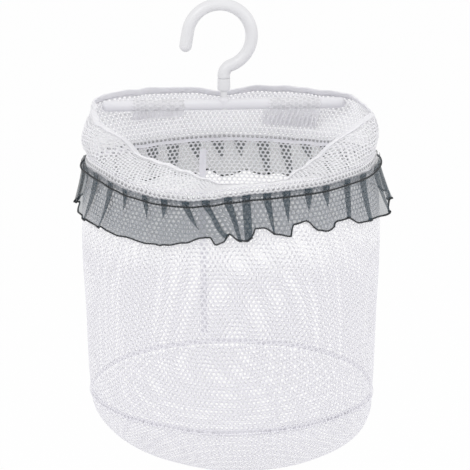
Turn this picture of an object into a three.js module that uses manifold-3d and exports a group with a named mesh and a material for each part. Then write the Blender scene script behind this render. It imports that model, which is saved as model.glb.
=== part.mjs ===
// A hanging peg bag: a round mesh bag with a pleated organza ruffle, carried by two loops on a bar with a swivel hook.
// Millimetres, +Z up, front towards -Y, origin at the inner crown of the hook, where it rests on a rail or line.
import * as THREE from 'three';
import { mergeVertices } from 'three/addons/utils/BufferGeometryUtils.js';
import Module from 'manifold-3d';

const wasm = await Module();
wasm.setup();

// Fits
const sewnGap = 0.3; // between pieces that are sewn, pushed or laid together
const looseGap = 0.4; // between a loose piece and what it lies against
const tabGap = 0.7; // between the tab of a loop and the curved collar
const overrun = 1; // how far a cutter passes through what it cuts

// Hook
const hookSection = 12.6; // diameter of the moulded rod
const hookRadius = 32.7; // centreline of the open ring
const hookTipAngle = 171; // degrees from +X, where the straight tip leaves the ring
const hookTipLength = 15;
const hookBend = 11; // radius of the reverse bend into the stem
const stemOffset = 4.3; // from the crown sideways to the stem
const hangDrop = 98; // from the inner crown down to the middle of the bar

// Sleeve and swivel pin
const sleeveDiameter = 13;
const sleeveLength = 12.6;
const neckLength = 9.6; // bare neck between the sleeve and the bar
const neckDiameter = 7;
const shankDiameter = 6; // upper end of the pin, in the sleeve and the stem
const shankGrip = 9; // how far the shank enters the stem
const pinHeadDiameter = 8.6;
const pinHeadHeight = 3.6;
const pinHeadRecess = 0.6; // head above the lowest line of the bar
const sleeveEdge = 0.8; // rounded lower edge of the sleeve

// Bar
const barDiameter = 11.2;
const barLength = 250;
const bossDiameter = 10;
const bossRise = 2.6; // boss above the bar

// Place of the bag on the bar
const bagShift = 2.5; // axis of the bag to the right of the middle of the bar
const bagForward = 70; // axis of the bag in front of the bar
const ringDrop = 47.3; // from the bar down to the ring seam

// Ring seam, channel and hoop
const hoopRadius = 143.5;
const hoopWire = 2.5;
const hoopRise = 5.5; // hoop above the ring seam
const ferruleWall = 0.5;
const ferruleLength = 24;
const hoopEndGap = 3;
const meshThickness = 0.6;
const channelEase = 0.7; // between the ferrule and the channel
const channelHeight = 12.5;
const channelRoof = 1.4; // stitched-down mesh above the hollow of the channel
const seamAllowance = 3; // collar below the ring seam
const wallTuck = 2; // wall above the ring seam, between the two layers of the collar

// Collar: how far each layer of it leans in from upright, low and high on the band, in degrees, by azimuth
const collarHeight = 45; // from the channel to the folded rim
const collarSteps = 5;
const collarLeans = [
  [-180, 19, 45],
  [-160, 20, 28],
  [-140, 6, 15],
  [-120, -30, -8],
  [-106, -36, 24],
  [-92, -46, 83],
  [-80, -46, 124],
  [-68, -46, 124],
  [-55, -26, 124],
  [-42, 10, 119],
  [-30, 51, 104],
  [-18, 81, 98],
  [-8, 101, 102],
  [4, 111, 110],
  [16, 112, 111],
  [26, 103, 111],
  [38, 75, 117],
  [50, 22, 122],
  [62, -32, 117],
  [74, -46, 100],
  [86, -44, 66],
  [98, -38, 46],
  [106, -36, 26],
  [120, -30, -6],
  [132, -22, 12],
  [144, -14, 24],
  [162, -2, 30],
];

// Wall
const wallHeight = 234.5;
const wallRows = 6;
const wallBulge = 7.5;
const bulgePeakShare = 0.33; // how far down the wall the bulge peaks
const bottomRadius = 142.2;
const foldDepth = 1.6;
const foldWaves = [
  { count: 5, turn: 0.7, share: 0.6 },
  { count: 9, turn: 2.2, share: 0.4 },
];
const wallSeamAzimuth = -172;
const wallSeamWidth = 9;
const gridBar = 14; // height of the bars between the openings that stand for the net
const gridColumns = 3; // columns of facets to each opening, the first of them its upright bar

// Bottom
const bowlDepth = 65.5;
const bowlPower = 2.3; // 2 is an ellipse, more is fuller
const bottomFlange = 6; // edge of the bottom turned up inside the wall
const bowlRows = 5;

// Ruffle
const pleatCount = 39;
const pleatOverlapShare = 0.26; // of the pitch, hidden under the next pleat
const pleatStep = 1.3; // between the layers of a pleat
const ruffleThickness = 0.4;
const ruffleHeader = 6; // above the stitch line
const ruffleMidDrop = 20;
const ruffleDrop = 42; // from the stitch line to the hem
const ruffleMidFlare = 5;
const ruffleHemFlare = 9;
const hemWave = 3.4; // half the in-and-out wave at the hem
const hemSag = 2.5; // half the up-and-down wave at the hem
const hemSagWaves = 13;
const hemThread = 0.9;

// Tapes and threads
const tapeThickness = 0.6;
const seamTapeWidth = 4.5;
const bottomTapeWidth = 6;
const threadSize = 0.8;

// Loops
const loopWidth = 58;
const loopPlace = 70; // middle of each loop from the axis of the bag
const leftTab = [24, 34.5]; // lower and upper edge of the sewn tab above the ring seam
const rightTab = [17, 27.5];
const loopWrapSteps = 11;
const loopRunSteps = 3; // along each straight run between the tab and the bar
const loopWidthSteps = 4;
const stitchInset = 2.5; // box stitching in from the edges of the tab

// Facets
const ringColumns = 60;
const turnedSides = 24;
const hookSides = 16;
const hookSteps = 56;
const wireSides = 6;
const ferruleSides = 10;
const domeSteps = 5;
const collarSlices = 16;

const degree = Math.PI / 180;
const barX = stemOffset;
const barZ = -hangDrop;
const bagX = barX + bagShift;
const bagY = -bagForward;
const ringZ = barZ - ringDrop;
const bottomZ = ringZ - wallHeight;
const barRadius = barDiameter / 2;
const sleeveBottom = barZ + barRadius + neckLength;
const sleeveTop = sleeveBottom + sleeveLength;
const stemBottom = sleeveTop + sewnGap;

// Materials
const finish = (color, roughness, metalness = 0) =>
  new THREE.MeshStandardMaterial({ color, roughness, metalness });
const hookPlastic = finish(0xe2e2e4, 0.4);
const barPlastic = finish(0xd9d8de, 0.38);
const meshCloth = finish(0xe9e7f2, 0.85);
const tapeCloth = finish(0xf0eff6, 0.8);
const organza = finish(0x59636c, 0.6);
const blackThread = finish(0x1c2022, 0.7);
const whiteThread = finish(0xf2f1f7, 0.75);
const springSteel = finish(0x9a9ca0, 0.35, 0.9);

// Joining and cutting
function solidOf(geometry) {
  const bare = geometry.clone();
  bare.deleteAttribute('normal');
  bare.deleteAttribute('uv');
  const merged = mergeVertices(bare, 1e-4);
  return new wasm.Manifold(
    new wasm.Mesh({
      numProp: 3,
      vertProperties: merged.attributes.position.array,
      triVerts: new Uint32Array(merged.index.array),
    }),
  );
}

function geometryOf(solid) {
  const mesh = solid.getMesh();
  const geometry = new THREE.BufferGeometry();
  geometry.setAttribute('position', new THREE.BufferAttribute(mesh.vertProperties, 3));
  geometry.setIndex(new THREE.BufferAttribute(mesh.triVerts, 1));
  geometry.computeVertexNormals();
  return geometry;
}

const joined = (first, second) => geometryOf(solidOf(first).add(solidOf(second)));
const cut = (body, cutter) => geometryOf(solidOf(body).subtract(solidOf(cutter)));

// A skin over columns of points. The columns go round a ring or, left open, end in flat caps.
// A profile that isn't closed starts and ends at a pole that all columns share.
// From row mirrorFrom on, where a sheet's second face runs back, the facets turn to lie on those of the first.
function skinned(columns, { closedProfile = true, closedRing = true, mirrorFrom } = {}) {
  const rows = columns[0].length;
  const secondFace = mirrorFrom ?? rows / 2;
  const spans = closedProfile ? rows : rows - 1;
  const steps = closedRing ? columns.length : columns.length - 1;
  const faces = [];
  for (let j = 0; j < steps; j += 1) {
    const here = j * rows;
    const next = ((j + 1) % columns.length) * rows;
    for (let i = 0; i < spans; i += 1) {
      const up = (i + 1) % rows;
      if (i < secondFace) {
        faces.push([here + i, next + i, next + up], [here + i, next + up, here + up]);
      } else {
        faces.push([here + i, next + i, here + up], [next + i, next + up, here + up]);
      }
    }
  }
  if (!closedRing) {
    const last = (columns.length - 1) * rows;
    for (let i = 1; i < rows - 1; i += 1) {
      faces.push([0, i, i + 1], [last, last + i + 1, last + i]);
    }
  }
  return closedSkin(columns.flat(), faces);
}

// Facets over listed points, joined where points coincide and turned outwards.
function closedSkin(points, faces) {
  let geometry = new THREE.BufferGeometry().setFromPoints(points);
  geometry.setIndex(faces.flat());
  geometry = mergeVertices(geometry, 1e-4);
  const index = geometry.index.array;
  const kept = [];
  for (let i = 0; i < index.length; i += 3) {
    const [a, b, c] = index.slice(i, i + 3);
    if (a !== b && b !== c && c !== a) kept.push([a, b, c]);
  }
  const place = geometry.attributes.position;
  const corner = (i) => new THREE.Vector3().fromBufferAttribute(place, i);
  const volume = kept.reduce(
    (sum, [a, b, c]) => sum + corner(a).dot(corner(b).cross(corner(c))),
    0,
  );
  geometry.setIndex(kept.map(([a, b, c]) => (volume < 0 ? [a, c, b] : [a, b, c])).flat());
  geometry.computeVertexNormals();
  return geometry;
}

// A closed ring of cloth between an outer and an inner grid of points, without the cells that are open.
function latticed(outer, inner, isOpen) {
  const count = outer.length;
  const rows = outer[0].length;
  const insideFrom = count * rows;
  const faces = [];
  const solidAt = (j, i) => i >= 0 && i < rows - 1 && !isOpen((j + count) % count, i);
  for (let j = 0; j < count; j += 1) {
    for (let i = 0; i < rows - 1; i += 1) {
      if (!solidAt(j, i)) continue;
      const here = j * rows + i;
      const next = ((j + 1) % count) * rows + i;
      const corners = [here, next, next + 1, here + 1];
      const [a, b, c, d] = corners;
      const inside = corners.map((corner) => corner + insideFrom);
      faces.push([a, b, c], [a, c, d]);
      faces.push([inside[2], inside[1], inside[0]], [inside[3], inside[2], inside[0]]);
      const beyond = [[j, i - 1], [j + 1, i], [j, i + 1], [j - 1, i]];
      beyond.forEach(([nextColumn, nextRow], side) => {
        if (solidAt(nextColumn, nextRow)) return;
        const from = corners[side];
        const to = corners[(side + 1) % corners.length];
        faces.push([to, from, from + insideFrom], [to, from + insideFrom, to + insideFrom]);
      });
    }
  }
  return closedSkin([...outer.flat(), ...inner.flat()], faces);
}

// A turned solid about an upright axis through (x, y); the profile lists [radius, height] from bottom to top.
function turned(profile, x, y) {
  const points = profile.map(([radius, height]) => new THREE.Vector2(radius, height));
  const geometry = new THREE.LatheGeometry(points, turnedSides);
  geometry.rotateX(Math.PI / 2);
  geometry.translate(x, y, 0);
  return geometry;
}

// Places round the bag: azimuth 0 is the front, positive towards +X.
function placeAt(radius, azimuth, z) {
  const angle = azimuth * degree;
  return new THREE.Vector3(
    bagX + radius * Math.sin(angle),
    bagY - radius * Math.cos(angle),
    z,
  );
}

const azimuths = Array.from({ length: ringColumns }, (_, j) => -180 + (360 * j) / ringColumns);
const ringOf = (profileAt, options) => skinned(azimuths.map(profileAt), options);

// A ring with a rectangular section between two radii and two heights.
function bandRing(radiusAt, thickness, low, high) {
  return ringOf((azimuth) => {
    const inside = radiusAt(azimuth) - thickness / 2;
    const outside = inside + thickness;
    return [
      placeAt(outside, azimuth, low),
      placeAt(outside, azimuth, high),
      placeAt(inside, azimuth, high),
      placeAt(inside, azimuth, low),
    ];
  });
}

// Wall of the bag
function bulgeShape(share) {
  const reach = share / bulgePeakShare;
  return reach * Math.exp(1 - reach);
}

function foldAt(azimuth, share) {
  const waves = foldWaves.map(
    (wave) => wave.share * Math.cos(wave.count * azimuth * degree + wave.turn),
  );
  return foldDepth * Math.sin((share * Math.PI) / 2) * waves.reduce((sum, wave) => sum + wave, 0);
}

function wallRadius(azimuth, share) {
  const taper = bottomRadius - hoopRadius - wallBulge * bulgeShape(1);
  return hoopRadius + taper * share + wallBulge * bulgeShape(share) + foldAt(azimuth, share);
}

// Collar: the middle of the folded band at a distance above the channel, and its lean there.
function leansAt(azimuth) {
  const count = collarLeans.length;
  let turn = azimuth;
  while (turn < collarLeans[0][0]) turn += 360;
  while (turn >= collarLeans[0][0] + 360) turn -= 360;
  let after = collarLeans.findIndex((row) => row[0] > turn);
  if (after < 0) after = count;
  const start = collarLeans[after - 1];
  const end = collarLeans[after % count];
  const endAzimuth = after === count ? end[0] + 360 : end[0];
  const share = (turn - start[0]) / (endAzimuth - start[0]);
  const ease = share * share * (3 - 2 * share);
  return [start[1] + (end[1] - start[1]) * ease, start[2] + (end[2] - start[2]) * ease];
}

function collarAt(azimuth, distance) {
  const [low, high] = leansAt(azimuth);
  const leanAt = (share) => (low + (high - low) * share) * degree;
  let inward = 0;
  let rise = 0;
  for (let i = 0; i < collarSlices; i += 1) {
    const slice = distance / collarSlices;
    const lean = leanAt(((i + 0.5) * slice) / collarHeight);
    inward += slice * Math.sin(lean);
    rise += slice * Math.cos(lean);
  }
  const lean = leanAt(distance / collarHeight);
  return {
    radius: hoopRadius - inward,
    height: channelHeight + rise,
    outwardRadius: Math.cos(lean),
    outwardHeight: Math.sin(lean),
  };
}

function collarPoint(azimuth, distance, offset) {
  const spot = collarAt(azimuth, distance);
  return placeAt(
    spot.radius + offset * spot.outwardRadius,
    azimuth,
    ringZ + spot.height + offset * spot.outwardHeight,
  );
}

// Section of the channel, as distances from the hoop's radius
const hoopRoom = hoopWire / 2 + sewnGap + ferruleWall + channelEase;
const channelHalf = hoopRoom + meshThickness;
const legInside = meshThickness / 2 + sewnGap;
const legOutside = legInside + meshThickness;

function makeCollar() {
  const distances = Array.from(
    { length: collarSteps },
    (_, i) => (collarHeight * (i + 1)) / collarSteps,
  );
  const profileAt = (azimuth) => {
    const at = (offset, height) => placeAt(hoopRadius + offset, azimuth, ringZ + height);
    const outer = distances.map((distance) => collarPoint(azimuth, distance, meshThickness));
    const inner = distances.map((distance) => collarPoint(azimuth, distance, -meshThickness));
    return [
      at(legOutside, -seamAllowance),
      at(channelHalf, hoopRise),
      at(meshThickness, channelHeight),
      ...outer,
      ...inner.reverse(),
      at(-meshThickness, channelHeight),
      at(-channelHalf, hoopRise),
      at(-legOutside, -seamAllowance),
      at(-legInside, -seamAllowance),
      at(-hoopRoom, hoopRise),
      at(0, channelHeight - channelRoof),
      at(hoopRoom, hoopRise),
      at(legInside, -seamAllowance),
    ];
  };
  const rowsBelow = 3;
  return ringOf(profileAt, { mirrorFrom: rowsBelow + collarSteps });
}

// Wire of the hoop, an open ring whose ends meet in the ferrule at the back
function sectionAt(radius, azimuth, z, sectionRadius, sides) {
  return Array.from({ length: sides }, (_, i) => {
    const angle = (2 * Math.PI * i) / sides;
    return placeAt(
      radius + sectionRadius * Math.cos(angle),
      azimuth,
      z + sectionRadius * Math.sin(angle),
    );
  });
}

const arcDegrees = (length) => length / hoopRadius / degree;

function makeHoop() {
  const halfGap = arcDegrees(hoopEndGap) / 2;
  const inner = azimuths.slice(1);
  return skinned(
    [-180 + halfGap, ...inner, 180 - halfGap].map((azimuth) =>
      sectionAt(hoopRadius, azimuth, ringZ + hoopRise, hoopWire / 2, wireSides),
    ),
    { closedRing: false },
  );
}

function makeFerrule() {
  const bore = hoopWire / 2 + sewnGap;
  const reach = arcDegrees(ferruleLength) / 2;
  const stations = [180 - reach, 180, 180 + reach];
  const along = stations.map((azimuth) => ({
    outer: sectionAt(hoopRadius, azimuth, ringZ + hoopRise, bore + ferruleWall, ferruleSides),
    inner: sectionAt(hoopRadius, azimuth, ringZ + hoopRise, bore, ferruleSides),
  }));
  const columns = Array.from({ length: ferruleSides }, (_, i) => [
    ...along.map((ring) => ring.outer[i]),
    ...along.map((ring) => ring.inner[i]).reverse(),
  ]);
  return skinned(columns);
}

// Stations down the wall, as drops below the ring seam, and the straight run between them
const openingEdges = Array.from({ length: wallRows }, (_, i) => [
  (wallHeight * i) / wallRows + gridBar / 2,
  (wallHeight * (i + 1)) / wallRows - gridBar / 2,
]);
const wallDrops = [-wallTuck, seamAllowance, ...openingEdges.flat(), wallHeight];

function wallRadiusAtStation(azimuth, drop) {
  return drop <= seamAllowance ? hoopRadius : wallRadius(azimuth, drop / wallHeight);
}

function wallRadiusBetween(azimuth, drop) {
  const after = wallDrops.findIndex((station) => station >= drop);
  const [from, to] = [wallDrops[after - 1], wallDrops[after]];
  const share = (drop - from) / (to - from);
  const start = wallRadiusAtStation(azimuth, from);
  return start + (wallRadiusAtStation(azimuth, to) - start) * share;
}

// The net is stood for by a plain grid of openings in two of every three columns.
function makeWall() {
  const face = (offset) =>
    azimuths.map((azimuth) =>
      wallDrops.map((drop) =>
        placeAt(wallRadiusAtStation(azimuth, drop) + offset, azimuth, ringZ - drop),
      ),
    );
  const tops = openingEdges.map(([top]) => top);
  const isOpen = (column, row) =>
    column % gridColumns !== 1 && tops.includes(wallDrops[row]);
  return latticed(face(meshThickness / 2), face(-meshThickness / 2), isOpen);
}

// Bottom: a turned-up edge inside the wall, then a full, sagging bowl
const flangeInset = meshThickness + sewnGap;

function makeBottom() {
  const turns = Array.from({ length: bowlRows }, (_, i) => ((i + 1) * Math.PI) / 2 / bowlRows);
  return skinned(
    azimuths.map((azimuth) => {
      const side = (offset) => {
        const edge = wallRadius(azimuth, 1) - flangeInset;
        const depth = bowlDepth + offset;
        return [
          placeAt(edge + offset, azimuth, bottomZ + bottomFlange),
          placeAt(edge + offset, azimuth, bottomZ),
          ...turns.map((turn) =>
            placeAt(
              (edge + offset) * Math.max(0, Math.cos(turn)) ** (2 / bowlPower),
              azimuth,
              bottomZ - depth * Math.sin(turn) ** (2 / bowlPower),
            ),
          ),
        ];
      };
      const half = meshThickness / 2;
      const poleOf = (points) => {
        points[points.length - 1].x = bagX;
        points[points.length - 1].y = bagY;
        return points;
      };
      return [...poleOf(side(half)).reverse(), ...poleOf(side(-half))];
    }),
    { closedProfile: false },
  );
}

// Ruffle: knife pleats at the stitch line that open into waves at the hem
const ruffleRadius = hoopRadius + channelHalf + ruffleThickness / 2 + looseGap;
const pitch = 360 / pleatCount;

// The four corners of a pleat, as [share of the pitch, step outwards], pressed flat and opened out
const pressedShares = [
  [0, 0],
  [0.5, 0.8],
  [1 + pleatOverlapShare / 2, 2],
  [1 - pleatOverlapShare / 2, 1],
];
const openShares = [
  [0.02, -1],
  [0.34, 0.3],
  [0.74, 1],
  [0.9, 0.1],
];

function pleatCorners(blend) {
  return pressedShares.map(([along, out], i) => {
    const [openAlong, openOut] = openShares[i];
    return {
      along: along + (openAlong - along) * blend,
      pressed: out * pleatStep * (1 - blend),
      open: openOut * hemWave * blend,
    };
  });
}

function ruffleLine(base, blend, z) {
  const corners = pleatCorners(blend);
  const line = [];
  for (let pleat = 0; pleat < pleatCount; pleat += 1) {
    corners.forEach((corner) => {
      const azimuth = -180 + pitch * (pleat + corner.along);
      const sag = blend * hemSag * Math.cos(hemSagWaves * azimuth * degree + 1);
      line.push(placeAt(base + corner.pressed + corner.open, azimuth, z + sag));
    });
  }
  return line;
}

const ruffleRows = [
  [ruffleRadius, 0, ruffleHeader],
  [ruffleRadius, 0, 0],
  [ruffleRadius + ruffleMidFlare, 0.45, -ruffleMidDrop],
  [ruffleRadius + ruffleHemFlare, 1, -ruffleDrop],
].map(([base, blend, rise]) => ruffleLine(base, blend, ringZ + rise));

// Level direction square to a closed line of points, on its outer side
function sideways(line, i) {
  const before = line[(i + line.length - 1) % line.length];
  const after = line[(i + 1) % line.length];
  const arriving = line[i].clone().sub(before).setZ(0).normalize();
  const leaving = after.clone().sub(line[i]).setZ(0).normalize();
  const sum = arriving.add(leaving);
  const turning = new THREE.Vector3(sum.y, -sum.x, 0);
  return turning.normalize();
}

function makeRuffle() {
  const columns = ruffleRows[0].map((_, i) => {
    const side = (offset) =>
      ruffleRows.map((line) => line[i].clone().addScaledVector(sideways(line, i), offset));
    const half = ruffleThickness / 2;
    return [...side(half), ...side(-half).reverse()];
  });
  return skinned(columns);
}

function makeHemThread() {
  const line = ruffleRows[ruffleRows.length - 1];
  const size = hemThread / 2;
  const drop = ruffleThickness / 2 + sewnGap + size;
  const corners = [
    [0, size],
    [size, -size],
    [-size, -size],
  ];
  return skinned(
    line.map((point, i) =>
      corners.map(([across, up]) =>
        point
          .clone()
          .addScaledVector(sideways(line, i), across)
          .add(new THREE.Vector3(0, 0, up - drop)),
      ),
    ),
  );
}

// Loops: each strip leaves a tab sewn to the back of the collar, goes over the bar and comes back.
// A ply that comes from a point meets the bar where it is tangent to it.
function touchAngle(point, radius, side) {
  const rise = point.z - barZ;
  return Math.atan2(rise, point.y) + side * Math.acos(radius / Math.hypot(point.y, rise));
}

const tabOf = (side) => (side < 0 ? leftTab : rightTab);

function loopColumns(side) {
  const [tabLow, tabHigh] = tabOf(side);
  const half = meshThickness / 2;
  const wrapRadius = barRadius + sewnGap + half;
  const tabOffset = -(meshThickness + tabGap + half);
  const acrossAll = Array.from(
    { length: loopWidthSteps + 1 },
    (_, i) => side * loopPlace + loopWidth * (i / loopWidthSteps - 0.5),
  );
  const paths = acrossAll.map((across) => {
    const azimuth = 180 - Math.asin(across / hoopRadius) / degree;
    const tab = [tabLow, (tabLow + tabHigh) / 2, tabHigh].map((height) =>
      collarPoint(azimuth, height - channelHeight, tabOffset),
    );
    const wrapStart = touchAngle(tab[tab.length - 1], wrapRadius, 1);
    const wrapEnd = touchAngle(tab[0], wrapRadius, -1) + 2 * Math.PI;
    const wrap = Array.from({ length: loopWrapSteps + 1 }, (_, i) => {
      const angle = wrapStart + ((wrapEnd - wrapStart) * i) / loopWrapSteps;
      return new THREE.Vector3(
        bagX + across,
        wrapRadius * Math.cos(angle),
        barZ + wrapRadius * Math.sin(angle),
      );
    });
    const run = (from, to) =>
      Array.from({ length: loopRunSteps - 1 }, (_, i) =>
        from.clone().lerp(to, (i + 1) / loopRunSteps),
      );
    const wrapLast = wrap[wrap.length - 1];
    return [...tab, ...run(tab[tab.length - 1], wrap[0]), ...wrap, ...run(wrapLast, tab[0])];
  });
  return { paths, half };
}

function makeLoop(side) {
  const { paths, half } = loopColumns(side);
  const count = paths[0].length;
  const outwards = paths.map((path) =>
    path.map((point, i) => {
      const before = path[(i + count - 1) % count];
      const after = path[(i + 1) % count];
      const run = after.clone().sub(before);
      return new THREE.Vector3(0, run.z, -run.y).normalize();
    }),
  );
  const columns = Array.from({ length: count }, (_, i) => {
    const face = (offset) =>
      paths.map((path, k) => path[i].clone().addScaledVector(outwards[k][i], offset));
    return [...face(half), ...face(-half).reverse()];
  });
  return skinned(columns);
}

// Box stitching: one thread round the tab, on its inner face.
function makeLoopStitching(side) {
  const { half } = loopColumns(side);
  const reach = loopWidth / 2 - stitchInset;
  const [tabLow, tabHigh] = tabOf(side);
  const low = tabLow + stitchInset;
  const high = tabHigh - stitchInset;
  const offset = -(meshThickness + tabGap + 2 * half + sewnGap + threadSize / 2);
  const steps = Array.from({ length: loopWidthSteps + 1 }, (_, i) => -1 + (2 * i) / loopWidthSteps);
  const route = [
    ...steps.map((share) => [share * reach, low, -1]),
    ...steps.map((share) => [-share * reach, high, 1]),
  ];
  const columns = route.map(([across, height, outUp]) => {
    const place = side * loopPlace + across;
    const azimuth = 180 - Math.asin(place / hoopRadius) / degree;
    const thread = threadSize / 2;
    const at = (outward, upward) =>
      collarPoint(azimuth, height + upward * outUp - channelHeight, offset + outward);
    return [at(thread, thread), at(thread, -thread), at(-thread, -thread), at(-thread, thread)];
  });
  return skinned(columns);
}

// Tapes and thread lines of the seams
function makeSeamTape() {
  const radius = hoopRadius - legOutside - sewnGap - tapeThickness / 2;
  const high = ringZ - seamAllowance + seamTapeWidth / 4;
  return bandRing(() => radius, tapeThickness, high - seamTapeWidth, high);
}

function makeBottomTape() {
  const inset = flangeInset + meshThickness / 2 + sewnGap + tapeThickness / 2;
  return bandRing(
    (azimuth) => wallRadius(azimuth, 1) - inset,
    tapeThickness,
    bottomZ + bottomFlange / 4,
    bottomZ + bottomFlange / 4 + bottomTapeWidth,
  );
}

function makeWallSeamTape() {
  const start = seamAllowance + seamTapeWidth;
  const end = wallHeight - bottomTapeWidth - bottomFlange;
  const drops = [start, ...wallDrops.filter((drop) => drop > start && drop < end), end];
  const reach = arcDegrees(wallSeamWidth) / 2;
  const outside = meshThickness / 2 + looseGap;
  const columns = drops.map((drop) => {
    const at = (azimuth, inset) =>
      placeAt(wallRadiusBetween(azimuth, drop) - inset, azimuth, ringZ - drop);
    return [
      at(wallSeamAzimuth - reach, outside),
      at(wallSeamAzimuth + reach, outside),
      at(wallSeamAzimuth + reach, outside + tapeThickness),
      at(wallSeamAzimuth - reach, outside + tapeThickness),
    ];
  });
  return skinned(columns, { closedRing: false });
}

function makeThreadRing(radiusAt, z) {
  return bandRing(radiusAt, threadSize, z - threadSize / 2, z + threadSize / 2);
}

const threadOutside = sewnGap + threadSize / 2;
const ruffleThreadRadius =
  ruffleRadius + 2 * pleatStep + ruffleThickness / 2 + threadOutside;
const channelThreadRadius = hoopRadius + meshThickness + looseGap + threadSize / 2;

// Hook: the centreline runs from the straight tip over the crown, through the reverse bend and down the stem.
class HookLine extends THREE.Curve {
  constructor() {
    super();
    this.middleZ = hookSection / 2 - hookRadius;
    this.turn = -Math.acos((stemOffset + hookBend) / (hookRadius + hookBend));
    this.lengths = [
      hookTipLength,
      hookRadius * (hookTipAngle * degree - this.turn),
      hookBend * -this.turn,
    ];
    this.bendX = (hookRadius + hookBend) * Math.cos(this.turn);
    this.bendZ = this.middleZ + (hookRadius + hookBend) * Math.sin(this.turn);
    this.lengths.push(this.bendZ - stemBottom);
    this.whole = this.lengths.reduce((sum, length) => sum + length, 0);
  }

  getPoint(share, target = new THREE.Vector3()) {
    const [tip, ring, bend] = this.lengths;
    const run = share * this.whole - tip;
    if (run < ring) {
      const angle = hookTipAngle * degree - Math.max(0, run) / hookRadius;
      const beyond = Math.max(0, -run);
      return target.set(
        hookRadius * Math.cos(angle) - beyond * Math.sin(angle),
        0,
        this.middleZ + hookRadius * Math.sin(angle) + beyond * Math.cos(angle),
      );
    }
    if (run < ring + bend) {
      const angle = this.turn + Math.PI + (run - ring) / hookBend;
      return target.set(
        this.bendX + hookBend * Math.cos(angle),
        0,
        this.bendZ + hookBend * Math.sin(angle),
      );
    }
    return target.set(stemOffset, 0, this.bendZ - (run - ring - bend));
  }
}

function makeHook() {
  const line = new HookLine();
  const section = new THREE.Shape(
    Array.from({ length: hookSides }, (_, i) => {
      const angle = (2 * Math.PI * i) / hookSides;
      return new THREE.Vector2(Math.cos(angle), Math.sin(angle)).multiplyScalar(hookSection / 2);
    }),
  );
  const rod = new THREE.ExtrudeGeometry(section, {
    steps: hookSteps,
    extrudePath: line,
    bevelEnabled: false,
  });
  const tip = new THREE.SphereGeometry(hookSection / 2, hookSides, hookSides / 2);
  const tipPlace = line.getPoint(0);
  tip.rotateX(Math.PI / 2);
  tip.translate(tipPlace.x, tipPlace.y, tipPlace.z);
  const socketRadius = shankDiameter / 2 + sewnGap;
  const socket = turned(
    [
      [0, stemBottom - overrun],
      [socketRadius, stemBottom - overrun],
      [socketRadius, stemBottom + shankGrip + sewnGap],
      [0, stemBottom + shankGrip + sewnGap],
    ],
    stemOffset,
    0,
  );
  return cut(joined(rod, tip), socket);
}

function makeSleeve() {
  const bore = shankDiameter / 2 + sewnGap;
  const outside = sleeveDiameter / 2;
  const profile = [
    [bore, sleeveBottom],
    [outside - sleeveEdge, sleeveBottom],
    [outside, sleeveBottom + sleeveEdge],
    [outside, sleeveTop],
    [bore, sleeveTop],
    [bore, sleeveBottom],
  ];
  return turned(profile, stemOffset, 0);
}

const pinHeadBottom = barZ - barRadius + pinHeadRecess;
const pinHeadTop = pinHeadBottom + pinHeadHeight;

function makeSwivelPin() {
  const neck = neckDiameter / 2;
  const shank = shankDiameter / 2;
  const head = pinHeadDiameter / 2;
  return turned(
    [
      [0, pinHeadBottom],
      [head, pinHeadBottom],
      [head, pinHeadTop],
      [neck, pinHeadTop],
      [neck, sleeveBottom - sewnGap],
      [shank, sleeveBottom - sewnGap],
      [shank, stemBottom + shankGrip],
      [0, stemBottom + shankGrip],
    ],
    stemOffset,
    0,
  );
}

// Bar: a round rod with domed ends, a low boss on top, and the stepped bore of the swivel pin.
function makeBar() {
  const straight = barLength / 2 - barRadius;
  const dome = (side) =>
    Array.from({ length: domeSteps + 1 }, (_, i) => {
      const angle = (Math.PI / 2) * (side < 0 ? i / domeSteps : 1 - i / domeSteps);
      return new THREE.Vector2(
        barRadius * Math.sin(angle),
        side * (straight + barRadius * Math.cos(angle)),
      );
    });
  const rod = new THREE.LatheGeometry([...dome(-1), ...dome(1)], turnedSides);
  rod.rotateZ(-Math.PI / 2);
  rod.translate(barX, 0, barZ);
  const top = barZ + barRadius + bossRise;
  const bossEdge = bossRise / 2;
  const boss = turned(
    [
      [0, barZ],
      [bossDiameter / 2, barZ],
      [bossDiameter / 2, top - bossEdge],
      [bossDiameter / 2 - bossEdge, top],
      [0, top],
    ],
    barX,
    0,
  );
  const bore = neckDiameter / 2 + sewnGap;
  const counterbore = pinHeadDiameter / 2 + sewnGap;
  const passage = turned(
    [
      [0, barZ - barRadius - overrun],
      [counterbore, barZ - barRadius - overrun],
      [counterbore, pinHeadTop + sewnGap],
      [bore, pinHeadTop + sewnGap],
      [bore, top + overrun],
      [0, top + overrun],
    ],
    barX,
    0,
  );
  return cut(joined(rod, boss), passage);
}

const bag = new THREE.Group();
const hanger = new THREE.Group();
const whole = new THREE.Group();
whole.add(hanger, bag);

function addPiece(group, name, geometry, material) {
  const mesh = new THREE.Mesh(geometry, material);
  mesh.name = name;
  group.add(mesh);
}

addPiece(hanger, 'hook', makeHook(), hookPlastic);
addPiece(hanger, 'stem_sleeve', makeSleeve(), hookPlastic);
addPiece(hanger, 'swivel_pin', makeSwivelPin(), hookPlastic);
addPiece(hanger, 'hanger_bar', makeBar(), barPlastic);

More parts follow.
